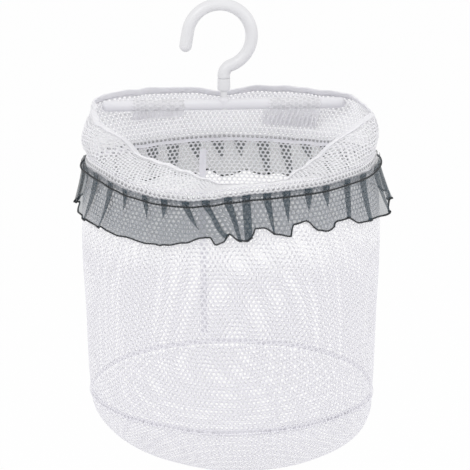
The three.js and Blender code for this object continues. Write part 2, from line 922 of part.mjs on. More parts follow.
addPiece(bag, 'collar_band', makeCollar(), meshCloth);
addPiece(bag, 'hoop', makeHoop(), springSteel);
addPiece(bag, 'hoop_ferrule', makeFerrule(), springSteel);
addPiece(bag, 'body_panel', makeWall(), meshCloth);
addPiece(bag, 'bottom_disc', makeBottom(), meshCloth);
addPiece(bag, 'ruffle', makeRuffle(), organza);
addPiece(bag, 'ruffle_hem_thread', makeHemThread(), blackThread);
addPiece(
  bag,
  'ruffle_stitching',
  makeThreadRing(() => ruffleThreadRadius, ringZ),
  blackThread,
);
addPiece(
  bag,
  'channel_stitching',
  makeThreadRing(() => channelThreadRadius, ringZ + channelHeight),
  whiteThread,
);
addPiece(
  bag,
  'bottom_stitching',
  makeThreadRing(
    (azimuth) => wallRadius(azimuth, 1) + meshThickness / 2 + threadOutside,
    bottomZ + threadSize * 2,
  ),
  whiteThread,
);
addPiece(bag, 'seam_tape', makeSeamTape(), tapeCloth);
addPiece(bag, 'wall_seam_tape', makeWallSeamTape(), tapeCloth);
addPiece(bag, 'bottom_seam_tape', makeBottomTape(), tapeCloth);
for (const [name, side] of [
  ['left', -1],
  ['right', 1],
]) {
  addPiece(bag, `${name}_loop`, makeLoop(side), meshCloth);
  addPiece(bag, `${name}_loop_stitching`, makeLoopStitching(side), whiteThread);
}

export default whole;
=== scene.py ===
import math

import bmesh
import bpy
import numpy as np
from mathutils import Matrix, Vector


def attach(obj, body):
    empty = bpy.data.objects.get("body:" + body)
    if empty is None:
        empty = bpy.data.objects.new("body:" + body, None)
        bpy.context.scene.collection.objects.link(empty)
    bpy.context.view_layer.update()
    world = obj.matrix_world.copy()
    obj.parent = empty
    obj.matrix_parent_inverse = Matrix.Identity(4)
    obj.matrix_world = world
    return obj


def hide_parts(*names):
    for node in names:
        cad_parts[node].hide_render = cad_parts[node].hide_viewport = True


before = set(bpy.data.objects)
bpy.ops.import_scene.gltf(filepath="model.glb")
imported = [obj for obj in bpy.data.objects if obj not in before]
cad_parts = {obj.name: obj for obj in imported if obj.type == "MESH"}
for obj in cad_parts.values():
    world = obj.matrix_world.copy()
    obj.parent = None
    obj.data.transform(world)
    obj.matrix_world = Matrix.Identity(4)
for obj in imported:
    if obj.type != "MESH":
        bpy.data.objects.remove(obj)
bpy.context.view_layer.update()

# Sizes are in millimetres and angles in degrees, and meshes are made in metres.
# Azimuth 0 is the front of the bag, and a positive one is to the right of it.

view = {
    "azimuth": -4.0,
    "elevation": 16.2,
    "distance": 3000,
    "lens": 227,
    "target": (10.8, -70, -217.1),
}


def addCamera():
    turn, rise = math.radians(view["azimuth"]), math.radians(view["elevation"])
    target = Vector(view["target"]) * 0.001
    away = Vector((math.sin(turn) * math.cos(rise), -math.cos(turn) * math.cos(rise), math.sin(rise)))
    data = bpy.data.cameras.new("productView")
    data.lens = view["lens"]
    data.sensor_width = 36
    data.clip_end = 60
    camera = bpy.data.objects.new("productView", data)
    camera.location = target + away * view["distance"] * 0.001
    camera.rotation_euler = (-away).to_track_quat("-Z", "Y").to_euler()
    bpy.context.scene.collection.objects.link(camera)
    bpy.context.scene.camera = camera


addCamera()
print("camera is set")


# Node boards
class Wire:
    # One output of a node. Arithmetic on it adds Math nodes to its board.
    def __init__(self, board, socket):
        self.board = board
        self.socket = socket

    def out(self, key):
        return Wire(self.board, pick(self.socket.node.outputs, key))

    def __add__(self, other):
        return self.board.maths("ADD", self, other)

    def __radd__(self, other):
        return self.board.maths("ADD", other, self)

    def __sub__(self, other):
        return self.board.maths("SUBTRACT", self, other)

    def __mul__(self, other):
        return self.board.maths("MULTIPLY", self, other)

    def __truediv__(self, other):
        return self.board.maths("DIVIDE", self, other)


def pick(sockets, key):
    if isinstance(key, int):
        return sockets[key]
    for socket in sockets:
        if socket.identifier == key:
            return socket
    return next(socket for socket in sockets if socket.name == key and socket.enabled)


class Board:
    def __init__(self, tree):
        self.tree = tree
        tree.nodes.clear()

    def add(self, kind, settings=None, inputs=None, output=0):
        node = self.tree.nodes.new(kind)
        for name, value in (settings or {}).items():
            setattr(node, name, value)
        for key, value in (inputs or {}).items():
            socket = pick(node.inputs, key)
            if isinstance(value, Wire):
                self.tree.links.new(value.socket, socket)
            else:
                socket.default_value = value
        return Wire(self, pick(node.outputs, output)) if len(node.outputs) else node

    def maths(self, operation, first, second=0.0):
        return self.add("ShaderNodeMath", {"operation": operation}, {0: first, 1: second})

    def noise(self, place, scale, detail=2.0):
        values = {"Vector": place, "Scale": scale, "Detail": detail}
        return self.add("ShaderNodeTexNoise", None, values, "Fac")

    def blend(self, share, first, second):
        colours = {"Factor_Float": share, "A_Color": first, "B_Color": second}
        return self.add("ShaderNodeMix", {"data_type": "RGBA"}, colours, "Result_Color")

    def combine(self, x, y, z=0.0):
        return self.add("ShaderNodeCombineXYZ", None, {"X": x, "Y": y, "Z": z})

    def attribute(self, name):
        kind = {"data_type": "FLOAT_VECTOR"}
        return self.add("GeometryNodeInputNamedAttribute", kind, {"Name": name}, "Attribute")


# Materials
def makeMaterial(name, paint):
    material = bpy.data.materials.new(name)
    material.use_nodes = True
    board = Board(material.node_tree)
    place = board.add("ShaderNodeTexCoord", output="Object")
    shader = paint(board, place)
    board.add("ShaderNodeOutputMaterial", None, {"Surface": shader})
    print("material", name)
    return material


def stretched(board, place, scale):
    return board.add("ShaderNodeMapping", None, {"Vector": place, "Scale": scale})


def bumped(board, height, strength, distance):
    values = {"Strength": strength, "Distance": distance, "Height": height}
    return board.add("ShaderNodeBump", None, values, "Normal")


# Bands along one axis, light and dark by turns, about this many of both together in a metre
def banded(board, place, axis, count, distortion=0.0):
    values = {"Vector": place, "Scale": count / 6.3, "Distortion": distortion}
    return board.add("ShaderNodeTexWave", {"bands_direction": axis}, values, "Fac")


# Fibre, knit and cloud are scales of noise, and the two depths are in metres.
netLook = {
    "bright": (0.73, 0.72, 0.775, 1),
    "shade": (0.695, 0.685, 0.74, 1),
    # The two pale colours are painted light: they lift the shade on the net near the mouth of the bag.
    "paintedLightBright": (0.93, 0.925, 0.955, 1),
    "paintedLightDim": (0.89, 0.885, 0.92, 1),
    "fibre": 2600,
    "knit": 900,
    "cloud": 14.0,
    "glow": 0.6,
    "glowDepth": 0.0015,
    "bump": 0.35,
    "bumpDepth": 0.00012,
}


def paintNet(board, place):
    fibre = board.noise(place, netLook["fibre"], 3.0)
    knit = board.noise(place, netLook["knit"], 1.0)
    cloud = board.noise(place, netLook["cloud"], 2.0)
    mottle = cloud * 0.7 + fibre * 0.3
    low = board.blend(mottle, netLook["shade"], netLook["bright"])
    # Painted light: near the mouth the net is blended towards the paler colours, which lift its shade.
    high = board.blend(mottle, netLook["paintedLightDim"], netLook["paintedLightBright"])
    paintedLight = board.add("ShaderNodeAttribute", {"attribute_name": "paintedLight"}, None, "Fac")
    height = fibre * 0.4 + knit * 0.6
    return board.add("ShaderNodeBsdfPrincipled", None, {
        "Base Color": board.blend(paintedLight, low, high),
        "Roughness": 0.78 + knit * 0.14,
        "Subsurface Weight": netLook["glow"],
        "Subsurface Radius": (1.0, 1.0, 1.0),
        "Subsurface Scale": netLook["glowDepth"],
        "Sheen Weight": 0.2,
        "Sheen Roughness": 0.5,
        "Specular IOR Level": 0.25,
        "Normal": bumped(board, height, netLook["bump"], netLook["bumpDepth"]),
    })


tapeLook = {
    "bright": (0.88, 0.875, 0.91, 1),
    "shade": (0.82, 0.81, 0.86, 1),
    "yarns": 1500,
    "glow": 0.5,
    "glowDepth": 0.0015,
}


def paintTape(board, place):
    ribs = banded(board, place, "Z", tapeLook["yarns"], 0.6)
    fibre = board.noise(stretched(board, place, (1.0, 1.0, 3.0)), tapeLook["yarns"], 2.0)
    weave = ribs * 0.6 + fibre * 0.4
    return board.add("ShaderNodeBsdfPrincipled", None, {
        "Base Color": board.blend(weave, tapeLook["shade"], tapeLook["bright"]),
        "Roughness": 0.72 + fibre * 0.18,
        "Subsurface Weight": tapeLook["glow"],
        "Subsurface Radius": (1.0, 1.0, 1.0),
        "Subsurface Scale": tapeLook["glowDepth"],
        "Sheen Weight": 0.2,
        "Specular IOR Level": 0.25,
        "Normal": bumped(board, weave, 0.6, 0.00012),
    })


organzaLook = {
    "dark": (0.010, 0.027, 0.041, 1),
    "light": (0.026, 0.057, 0.082, 1),
    "alpha": 0.485,
    "threads": 1100,
    "slub": 320,
    "cloud": 26,
}


def paintOrganza(board, place):
    flat = board.add("ShaderNodeUVMap", {"uv_map": "flat"})
    warp = banded(board, flat, "X", organzaLook["threads"])
    weft = banded(board, flat, "Y", organzaLook["threads"])
    slub = board.noise(stretched(board, flat, (1.0, 9.0, 1.0)), organzaLook["slub"], 2.0)
    cloud = board.noise(flat, organzaLook["cloud"], 2.0)
    weave = warp * 0.5 + weft * 0.5
    alpha = organzaLook["alpha"] - 0.09 + weave * 0.10 + cloud * 0.05 + slub * 0.05
    return board.add("ShaderNodeBsdfPrincipled", None, {
        "Base Color": board.blend(cloud * 0.6 + slub * 0.4, organzaLook["dark"], organzaLook["light"]),
        "Roughness": 0.42 + slub * 0.16,
        "Alpha": alpha,
        "Sheen Weight": 0.12,
        "Specular IOR Level": 0.35,
        "Normal": bumped(board, weave, 0.3, 0.00008),
    })


threadLooks = {
    "blackThread": {"dark": (0.008, 0.010, 0.012, 1), "light": (0.026, 0.030, 0.034, 1)},
    "whiteThread": {"dark": (0.82, 0.81, 0.86, 1), "light": (0.92, 0.91, 0.95, 1)},
}
threadNoise = {"twist": 2400, "fuzz": 700}


def paintThread(look):
    def paint(board, place):
        twist = board.noise(stretched(board, place, (1.0, 1.0, 1.6)), threadNoise["twist"], 2.0)
        fuzz = board.noise(place, threadNoise["fuzz"], 1.0)
        return board.add("ShaderNodeBsdfPrincipled", None, {
            "Base Color": board.blend(twist * 0.5 + fuzz * 0.5, look["dark"], look["light"]),
            "Roughness": 0.55 + twist * 0.2,
            "Sheen Weight": 0.15,
            "Specular IOR Level": 0.35,
            "Normal": bumped(board, twist, 0.7, 0.00012),
        })

    return paint


plasticLooks = {
    "hookPlastic": {"base": (0.74, 0.74, 0.755, 1), "worn": (0.69, 0.69, 0.705, 1), "roughness": 0.34},
    "barPlastic": {"base": (0.75, 0.745, 0.775, 1), "worn": (0.70, 0.695, 0.725, 1), "roughness": 0.32},
}
plasticNoise = {"grain": 900, "cloud": 22, "scuff": 420}


def paintPlastic(look):
    def paint(board, place):
        grain = board.noise(place, plasticNoise["grain"], 3.0)
        cloud = board.noise(place, plasticNoise["cloud"], 2.0)
        scuff = board.noise(stretched(board, place, (1.0, 1.0, 0.15)), plasticNoise["scuff"], 2.0)
        return board.add("ShaderNodeBsdfPrincipled", None, {
            "Base Color": board.blend(cloud * 0.7 + grain * 0.3, look["worn"], look["base"]),
            "Roughness": look["roughness"] - 0.05 + grain * 0.06 + scuff * 0.08,
            "Coat Weight": 0.12,
            "Coat Roughness": 0.2,
            "Specular IOR Level": 0.5,
            "Normal": bumped(board, grain * 0.7 + cloud * 0.3, 0.18, 0.0002),
        })

    return paint


steelLook = {
    "dark": (0.42, 0.42, 0.43, 1),
    "light": (0.62, 0.62, 0.63, 1),
    "drawn": 900,
    "spots": 160,
}


def paintSteel(board, place):
    drawn = board.noise(stretched(board, place, (1.0, 1.0, 8.0)), steelLook["drawn"], 2.0)
    spots = board.noise(place, steelLook["spots"], 3.0)
    return board.add("ShaderNodeBsdfPrincipled", None, {
        "Base Color": board.blend(spots, steelLook["dark"], steelLook["light"]),
        "Metallic": 1.0,
        "Roughness": 0.25 + drawn * 0.2,
        "Normal": bumped(board, drawn, 0.25, 0.0001),
    })


paints = {
    "whiteNet": paintNet,
    "wovenTape": paintTape,
    "darkOrganza": paintOrganza,
    "blackThread": paintThread(threadLooks["blackThread"]),
    "whiteThread": paintThread(threadLooks["whiteThread"]),
    "hookPlastic": paintPlastic(plasticLooks["hookPlastic"]),
    "barPlastic": paintPlastic(plasticLooks["barPlastic"]),
    "springSteel": paintSteel,
}
finishes = {name: makeMaterial(name, paint) for name, paint in paints.items()}


# Meshes
def newObject(name, mesh):
    made = bpy.data.objects.new(name, mesh)
    bpy.context.scene.collection.objects.link(made)
    return made


def gridFaces(rows, columns, closeRows, closeColumns):
    rowList = np.arange(rows if closeRows else rows - 1)
    columnList = np.arange(columns if closeColumns else columns - 1)
    i, j = [part.ravel() for part in np.meshgrid(rowList, columnList, indexing="ij")]
    up, along = (i + 1) % rows, (j + 1) % columns
    return np.stack([i * columns + j, i * columns + along, up * columns + along, up * columns + j], 1)


# Points are in millimetres; flat is the place of each on the flat cloth, and outward its normal.
def meshOf(name, points, faces, flat=None, outward=None):
    mesh = bpy.data.meshes.new(name)
    places = np.asarray(points, float).reshape(-1, 3) * 0.001
    mesh.from_pydata(places.tolist(), [], [list(map(int, face)) for face in faces])
    if flat is not None:
        cut = (np.asarray(flat, float).reshape(-1, 2) * 0.001).astype(np.float32)
        corners = np.empty(len(mesh.loops), np.int32)
        mesh.loops.foreach_get("vertex_index", corners)
        mesh.uv_layers.new(name="flat").data.foreach_set("uv", cut[corners].ravel())
    if outward is not None:
        layer = mesh.attributes.new("outward", "FLOAT_VECTOR", "POINT")
        layer.data.foreach_set("vector", np.asarray(outward, np.float32).ravel())
    mesh.polygons.foreach_set("use_smooth", np.ones(len(mesh.polygons), bool))
    mesh.update()
    return mesh


def unit(vectors):
    return vectors / np.maximum(np.linalg.norm(vectors, axis=-1, keepdims=True), 1e-9)


# Normals of a grid of points whose rows close on themselves
def outwardOf(points):
    body = points[:, :-1]  # the last station repeats the first
    steps = np.roll(body, -1, 1) - np.roll(body, 1, 1)
    around = np.concatenate([steps, steps[:, :1]], 1)
    return unit(np.cross(around, np.gradient(points, axis=0)))


def tidyFaces(thing, distance=0.00001):
    mesh = bmesh.new()
    mesh.from_mesh(thing.data)
    bmesh.ops.remove_doubles(mesh, verts=mesh.verts, dist=distance)
    bmesh.ops.recalc_face_normals(mesh, faces=mesh.faces)
    if mesh.calc_volume(signed=True) < 0:
        bmesh.ops.reverse_faces(mesh, faces=mesh.faces)
    mesh.to_mesh(thing.data)
    mesh.free()


# Faces of a tube, with its two ends closed unless it runs round
def tubeFaces(rows, columns, closed):
    faces = [list(face) for face in gridFaces(rows, columns, closed, True)]
    if not closed:
        faces += [list(range(columns)), list(range((rows - 1) * columns, rows * columns))[::-1]]
    return faces


# A tube of any section along a line; side and rise are the section's two directions at each station.
def sweep(name, line, side, rise, section, closed, finish):
    section = np.asarray(section, float)
    if section.ndim == 2:
        section = np.repeat(section[None], len(line), 0)
    points = line[:, None] + section[..., :1] * side[:, None] + section[..., 1:] * rise[:, None]
    made = newObject(name, meshOf(name, points, tubeFaces(*points.shape[:2], closed)))
    made.data.materials.append(finish)
    tidyFaces(made)
    return made


def roundSection(radius, sides):
    turn = np.linspace(0, 2 * np.pi, sides, endpoint=False)
    return radius * np.stack([np.cos(turn), np.sin(turn)], 1)


# A turned piece about an upright axis; the profile lists [radius, height] from bottom to top.
def lathe(name, profile, centre, sides, finish):
    profile = np.asarray(profile, float)
    turn = np.linspace(0, 2 * np.pi, sides, endpoint=False)
    radius = profile[:, :1]
    heights = np.repeat(profile[:, 1:], sides, 1)
    across = np.stack([radius * np.cos(turn), radius * np.sin(turn), heights], -1)
    faces = gridFaces(len(profile), sides, False, True)
    made = newObject(name, meshOf(name, across + np.array([*centre, 0.0]), faces))
    made.data.materials.append(finish)
    mesh = bmesh.new()
    mesh.from_mesh(made.data)
    bmesh.ops.remove_doubles(mesh, verts=mesh.verts, dist=0.000001)
    bmesh.ops.dissolve_degenerate(mesh, edges=mesh.edges, dist=0.000001)
    bmesh.ops.holes_fill(mesh, edges=[edge for edge in mesh.edges if edge.is_boundary], sides=0)
    mesh.to_mesh(made.data)
    mesh.free()
    tidyFaces(made)
    return made


def smoothByAngle(thing, degrees):
    thing.data.polygons.foreach_set("use_smooth", np.ones(len(thing.data.polygons), bool))
    thing.data.set_sharp_from_angle(angle=math.radians(degrees))


def stands(thing, body, slot, *nodes):
    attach(thing, body)
    if nodes:
        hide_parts(*nodes)


# Geometry Nodes
def newTree(name, inputs):
    tree = bpy.data.node_groups.new(name, "GeometryNodeTree")
    tree.interface.new_socket(name="Geometry", in_out="INPUT", socket_type="NodeSocketGeometry")
    for label, kind, value in inputs:
        socket = tree.interface.new_socket(name=label, in_out="INPUT", socket_type=kind)
        if value is not None:
            socket.default_value = value
    tree.interface.new_socket(name="Geometry", in_out="OUTPUT", socket_type="NodeSocketGeometry")
    board = Board(tree)
    return tree, board, board.add("NodeGroupInput", output="Geometry")


def closeTree(board, geometry, material):
    real = board.add("GeometryNodeRealizeInstances", None, {"Geometry": geometry})
    painted = board.add("GeometryNodeSetMaterial", None, {"Geometry": real, "Material": material})
    board.add("NodeGroupOutput", None, {"Geometry": painted})


def runTree(host, tree, values, name):
    modifier = host.modifiers.new(tree.name, "NODES")
    modifier.node_group = tree
    sockets = {item.name: item.identifier for item in tree.interface.items_tree if item.in_out == "INPUT"}
    for label, value in values.items():
        modifier[sockets[label]] = value
    host.update_tag()
    bpy.context.view_layer.update()
    graph = bpy.context.evaluated_depsgraph_get()
    mesh = bpy.data.meshes.new_from_object(host.evaluated_get(graph), depsgraph=graph)
    mesh.name = name
    made = newObject(name, mesh)
    host.modifiers.clear()
    bpy.data.objects.remove(host)
    return made


rowShare = math.sqrt(3) / 2  # from one row of cells to the next, as a share of the pitch


# Hexagonal net: a tile for each cell is laid out flat, and then bent onto the surface whose flat map it
# lies on.
def makeNetTree():
    tree, board, given = newTree("netTree", [
        ("Tile", "NodeSocketObject", None),
        ("Material", "NodeSocketMaterial", None),
        ("Pitch", "NodeSocketFloat", 0.005),
        ("Columns", "NodeSocketInt", 10),
        ("Rows", "NodeSocketInt", 10),
        ("Left", "NodeSocketFloat", 0.0),
        ("Start", "NodeSocketFloat", 0.0),
        ("Wrap Low", "NodeSocketFloat", -10.0),
        ("Wrap High", "NodeSocketFloat", 10.0),
        ("Reach", "NodeSocketFloat", 10.0),
        ("Lift", "NodeSocketFloat", 0.0),
    ])
    number = board.add("GeometryNodeInputIndex")
    columns, pitch = given.out("Columns"), given.out("Pitch")
    row = board.maths("FLOOR", (number + 0.5) / columns)
    column = number - row * columns
    across = given.out("Left") + (column + board.maths("MODULO", row, 2.0) * 0.5) * pitch
    along = given.out("Start") + row * pitch * rowShare
    count = {"Count": columns * given.out("Rows"), "Position": board.combine(across, along)}
    points = board.add("GeometryNodePoints", None, count)
    place = board.add("GeometryNodeInputPosition")
    far = board.add("ShaderNodeVectorMath", {"operation": "LENGTH"}, {0: place}, "Value")
    beyond = board.maths("GREATER_THAN", far, given.out("Reach"))
    cut = {"Geometry": points, "Selection": beyond}
    kept = board.add("GeometryNodeDeleteGeometry", {"domain": "POINT"}, cut)
    tile = board.add("GeometryNodeObjectInfo", None, {"Object": given.out("Tile")}, "Geometry")
    size = board.combine(pitch, pitch, pitch)
    tiles = board.add("GeometryNodeInstanceOnPoints", None, {"Points": kept, "Instance": tile, "Scale": size})
    real = board.add("GeometryNodeRealizeInstances", None, {"Geometry": tiles})
    parts = board.add("ShaderNodeSeparateXYZ", None, {0: place}, "X")
    wrap = {0: parts, 1: given.out("Wrap High"), 2: given.out("Wrap Low")}
    turned = board.add("ShaderNodeMath", {"operation": "WRAP"}, wrap)
    onCloth = board.combine(turned, parts.out("Y"))
    flat = board.attribute("flat")
    sampled = []
    for value in (place, board.attribute("outward")):
        values = {"Mesh": given, "Value": value, "Source UV Map": flat, "Sample UV": onCloth}
        kind = {"data_type": "FLOAT_VECTOR"}
        sampled.append(board.add("GeometryNodeSampleUVSurface", kind, values, "Value"))
    lift = parts.out("Z") + given.out("Lift")
    rise = board.add("ShaderNodeVectorMath", {"operation": "SCALE"}, {0: sampled[1], "Scale": lift})
    bent = board.add("ShaderNodeVectorMath", {"operation": "ADD"}, {0: sampled[0], 1: rise})
    laid = board.add("GeometryNodeSetPosition", None, {"Geometry": real, "Position": bent})
    merged = board.add("GeometryNodeMergeByDistance", None, {"Geometry": laid, "Distance": 0.00002})
    closeTree(board, merged, given.out("Material"))
    return tree


# Stitches along a line: one at each station, its length along the line and its back to the outward
# attribute.
def makeStitchTree():
    tree, board, given = newTree("stitchTree", [
        ("Stitch", "NodeSocketObject", None),
        ("Material", "NodeSocketMaterial", None),
        ("Spacing", "NodeSocketFloat", 0.003),
        ("Length", "NodeSocketFloat", 0.0024),
        ("Width", "NodeSocketFloat", 0.0008),
        ("Slant", "NodeSocketFloat", 0.0),
        ("Unevenness", "NodeSocketFloat", 0.06),
        ("Seed", "NodeSocketInt", 3),
    ])
    line = board.add("GeometryNodeMeshToCurve", None, {"Mesh": given})
    even = board.add("GeometryNodeResampleCurve", None, {"Curve": line}, "Curve")
    resample = even.socket.node
    resample.mode = "LENGTH"
    board.tree.links.new(given.out("Spacing").socket, pick(resample.inputs, "Length"))
    tangent = board.add("GeometryNodeInputTangent")
    lengthwise = {"axis": "X", "pivot_axis": "AUTO"}
    straight = board.add("FunctionNodeAlignRotationToVector", lengthwise, {"Vector": tangent})
    upwards = {"axis": "Z", "pivot_axis": "X"}
    facing = {"Rotation": straight, "Vector": board.attribute("outward")}
    upright = board.add("FunctionNodeAlignRotationToVector", upwards, facing)
    chance = {"Min_001": -1.0, "Max_001": 1.0, "Seed": given.out("Seed")}
    uneven = board.add("FunctionNodeRandomValue", {"data_type": "FLOAT"}, chance, "Value_001")
    swing = given.out("Slant") + uneven * given.out("Unevenness")
    slanted = board.add("FunctionNodeAxisAngleToRotation", None, {"Axis": (0, 0, 1), "Angle": swing})
    turns = {"Rotation": upright, "Rotate By": slanted}
    turned = board.add("FunctionNodeRotateRotation", {"rotation_space": "LOCAL"}, turns)
    placed = board.add("GeometryNodeInstanceOnPoints", None, {
        "Points": even,
        "Instance": board.add("GeometryNodeObjectInfo", None, {"Object": given.out("Stitch")}, "Geometry"),
        "Rotation": turned,
        "Scale": board.combine(given.out("Length"), given.out("Width"), given.out("Width")),
    })
    closeTree(board, placed, given.out("Material"))
    return tree


# Lift puts the flat back of the yarn a little inside the surface.
net = {"pitch": 5.05, "holeShare": 0.65, "ridge": 0.045, "lift": -0.2}


# Three strands of a cell and its two knots, with the cell's middle at the origin and a pitch of 1
def makeNetTile():
    east, northEast, northWest = (1.0, 0.0), (0.5, rowShare), (-0.5, rowShare)
    points, faces = [], []

    def corner(k):
        turn = math.radians(30 + 60 * k)
        return np.array([math.cos(turn), math.sin(turn)]) / math.sqrt(3)

    def hole(k, cell=(0.0, 0.0)):
        return np.array(cell) + corner(k) * net["holeShare"]

    def face(*corners):
        faces.append(list(range(len(points), len(points) + len(corners))))
        points.extend([x * 1000, y * 1000, z * 1000] for (x, y), z in corners)

    strands = [  # this cell's two corners, the neighbour and its two corners, in the same order
        (5, 0, east, 3, 2),
        (0, 1, northEast, 4, 3),
        (1, 2, northWest, 5, 4),
    ]
    for first, second, cell, otherFirst, otherSecond in strands:
        near, far = corner(first), corner(second)
        mine = [hole(first), hole(second)]
        other = [hole(otherFirst, cell), hole(otherSecond, cell)]
        ridge = net["ridge"]
        face((mine[0], 0), (near, ridge), (far, ridge), (mine[1], 0))
        face((near, ridge), (other[0], 0), (other[1], 0), (far, ridge))
        face((mine[0], 0), (mine[1], 0), (other[1], 0), (other[0], 0))
    face((hole(0), 0), (hole(4, northEast), 0), (hole(2, east), 0))
    face((hole(1), 0), (hole(5, northWest), 0), (hole(3, northEast), 0))
    tile = newObject("netTile", meshOf("netTile", points, faces))
    mesh = bmesh.new()
    mesh.from_mesh(tile.data)
    bmesh.ops.remove_doubles(mesh, verts=mesh.verts, dist=0.0001)
    mesh.to_mesh(tile.data)
    mesh.free()
    return tile


# A capsule of length and width 1, lying along X
def makeStitch():
    stations = [(-0.5, 0.0), (-0.42, 0.3), (-0.22, 0.48), (0.22, 0.48), (0.42, 0.3), (0.5, 0.0)]
    turn = np.linspace(0, 2 * np.pi, 6, endpoint=False)
    points = [[x * 1000, 1000 * r * math.cos(a), 1000 * r * math.sin(a)] for x, r in stations for a in turn]
    stitch = newObject("stitchShape", meshOf("stitchShape", points, gridFaces(len(stations), 6, False, True)))
    tidyFaces(stitch, 0.0001)
    return stitch


netTree, stitchTree = makeNetTree(), makeStitchTree()
netTile, stitchShape = makeNetTile(), makeStitch()
print("node trees are made")


# Shape of the bag. Lift fade is the share of the wall down which the hoop's lift dies away.
bag = {
    "centre": (6.8, -70.0),
    "ringZ": -145.3,
    "hoopRadius": 143.5,
    "wallHeight": 234.5,
    "bottomRadius": 142.2,
    "channelHeight": 12.5,
    "collarHeight": 45.0,
    "wallBulge": 7.5,
    "bulgePeak": 0.33,
    "foldDepth": 1.6,
    "liftFade": 0.45,
    "ripple": 0.4,
    "ripples": 31,
    "bowlDepth": 69.6,
    "bowlPower": 2.3,
}
bottomZ = bag["ringZ"] - bag["wallHeight"]
foldWaves = [(5, 0.7, 0.6), (9, 2.2, 0.4)]  # waves round the wall: their number, turn and share
# How far the hanging bag sways to the right of its axis, and how far it swells, by the distance below
# the ring
bagSway = [[0, 0], [55, 0.8], [95, 0.8], [145, 1.2], [195, 1.3], [234.5, 1.1], [252, 2.6], [269, 5.3],
           [287, 8.9], [304.1, 13.1]]
bagSwell = [[0, 0], [55, 0], [95, 0.4], [145, 0.2], [195, 1.3], [234.5, 1.8]]


def smooth(share):
    return share * share * (3 - 2 * share)


def placeAt(radius, azimuth, z):
    turn = np.radians(azimuth)
    sway = np.interp(bag["ringZ"] - np.asarray(z, float), *np.transpose(bagSway))
    x = bag["centre"][0] + sway + radius * np.sin(turn)
    y = bag["centre"][1] - radius * np.cos(turn)
    return np.stack(np.broadcast_arrays(x, y, z), -1).astype(float)


# The rest of a table's row at each azimuth, eased from one row to the next all the way round
def eased(table, azimuth):
    rows = np.asarray(table, float)
    turn = (np.asarray(azimuth, float) - rows[0, 0]) % 360 + rows[0, 0]
    after = np.searchsorted(rows[:, 0], turn, side="right")
    start, end = rows[after - 1], rows[after % len(rows)]
    endAt = np.where(after == len(rows), end[..., 0] + 360, end[..., 0])
    share = smooth((turn - start[..., 0]) / (endAt - start[..., 0]))
    return start[..., 1:] + (end[..., 1:] - start[..., 1:]) * share[..., None]


# How far the hoop stands above or below its level, as the soft bag lets it, by azimuth
hoopLift = [[-180, -10.5], [-160, -10.5], [-146, -10], [-132, -7.5], [-120, -4.5], [-108, -1], [-96, 2],
            [-84, 4.5], [-72, 6.5], [-62, 6], [-54, 3], [-45, 0], [-32, -2.4], [-20, -2.2], [-12, 0.4],
            [-4, 4], [5, 6.4], [18, 7.1], [32, 6.9], [46, 7.8], [60, 7], [76, 7.5], [90, 6], [102, 3.5],
            [114, 0], [126, -4.5], [138, -8], [150, -10], [164, -10.5]]
# How far the collar leans in from upright at its foot and at its rim, by azimuth
collarLeans = [[-180, 20, 49], [-160, 10, 35], [-140, 2, 21], [-120, -48, 20], [-106, -42, 52],
               [-92, -44, 76], [-80, -26, 92], [-68, 57, 96], [-55, 71, 79], [-42, 73, 80],
               [-30, 77, 87], [-18, 87, 93], [-8, 96, 96], [4, 96, 96], [16, 96, 96], [26, 96, 96],
               [38, 79, 92], [50, 57, 96], [62, 11, 96], [74, -22, 78], [86, -26, 34], [98, -22, 34],
               [106, -26, 36], [120, -42, 34], [132, -3, 32], [144, 2, 31], [162, 8, 36]]


def liftAt(azimuth):
    return eased(hoopLift, azimuth)[..., 0]


# Raised and sunk bands that run down the wall: middle azimuth, half width, softness of the edges, depth,
# top and foot shares
wallBands = [
    (23.5, 9.0, 2.0, 3.4, 0.12, 0.98),
    (-20.5, 6.0, 4.0, -2.6, 0.20, 0.75),
    (-52.0, 7.0, 5.0, 1.8, 0.05, 0.95),
    (44.0, 5.0, 4.0, -2.0, 0.15, 0.95),
    (1.0, 5.0, 4.0, 1.2, 0.25, 0.9),
    (66.0, 7.0, 5.0, 1.6, 0.1, 0.95),
    (-36.0, 4.0, 3.0, -1.4, 0.3, 0.95),
    (100.0, 8.0, 5.0, -1.8, 0.1, 0.9),
    (137.0, 9.0, 5.0, 1.8, 0.1, 0.9),
    (-100.0, 8.0, 5.0, 1.6, 0.1, 0.9),
    (-140.0, 9.0, 6.0, -1.8, 0.1, 0.9),
    (180.0, 8.0, 5.0, 1.5, 0.1, 0.9),
]


def bulgeAt(share):
    return share / bag["bulgePeak"] * np.exp(1 - share / bag["bulgePeak"])


def wallRadius(azimuth, share):
    azimuth, share = np.broadcast_arrays(np.asarray(azimuth, float), np.asarray(share, float))
    taper = bag["bottomRadius"] - bag["hoopRadius"] - bag["wallBulge"] * bulgeAt(1.0)
    waves = sum(part * np.cos(np.radians(count * azimuth) + turn) for count, turn, part in foldWaves)
    radius = bag["hoopRadius"] + taper * share + bag["wallBulge"] * bulgeAt(share)
    radius = radius + np.interp(share * bag["wallHeight"], *np.transpose(bagSwell))
    radius = radius + bag["foldDepth"] * np.sin(share * np.pi / 2) * waves
    for middle, half, soft, depth, top, foot in wallBands:
        away = np.abs((azimuth - middle + 180) % 360 - 180)
        across = 1 / (1 + np.exp(np.clip((away - half) / soft * 3, -30, 30)))
        begun = np.clip((share - top * 0.4) / (top * 0.6 + 0.05), 0, 1)
        ended = np.clip((1.0 - share) / (1.04 - foot), 0, 1)
        radius = radius + depth * across * smooth(begun * ended)
    return radius


def wallPoint(azimuth, drop, offset=0.0):
    share = np.clip(drop / bag["wallHeight"], 0, 1)
    hang = np.clip(1 - drop / (bag["liftFade"] * bag["wallHeight"]), 0, 1)
    height = bag["ringZ"] - drop + liftAt(azimuth) * smooth(hang)
    return placeAt(wallRadius(azimuth, share) + offset, azimuth, height)


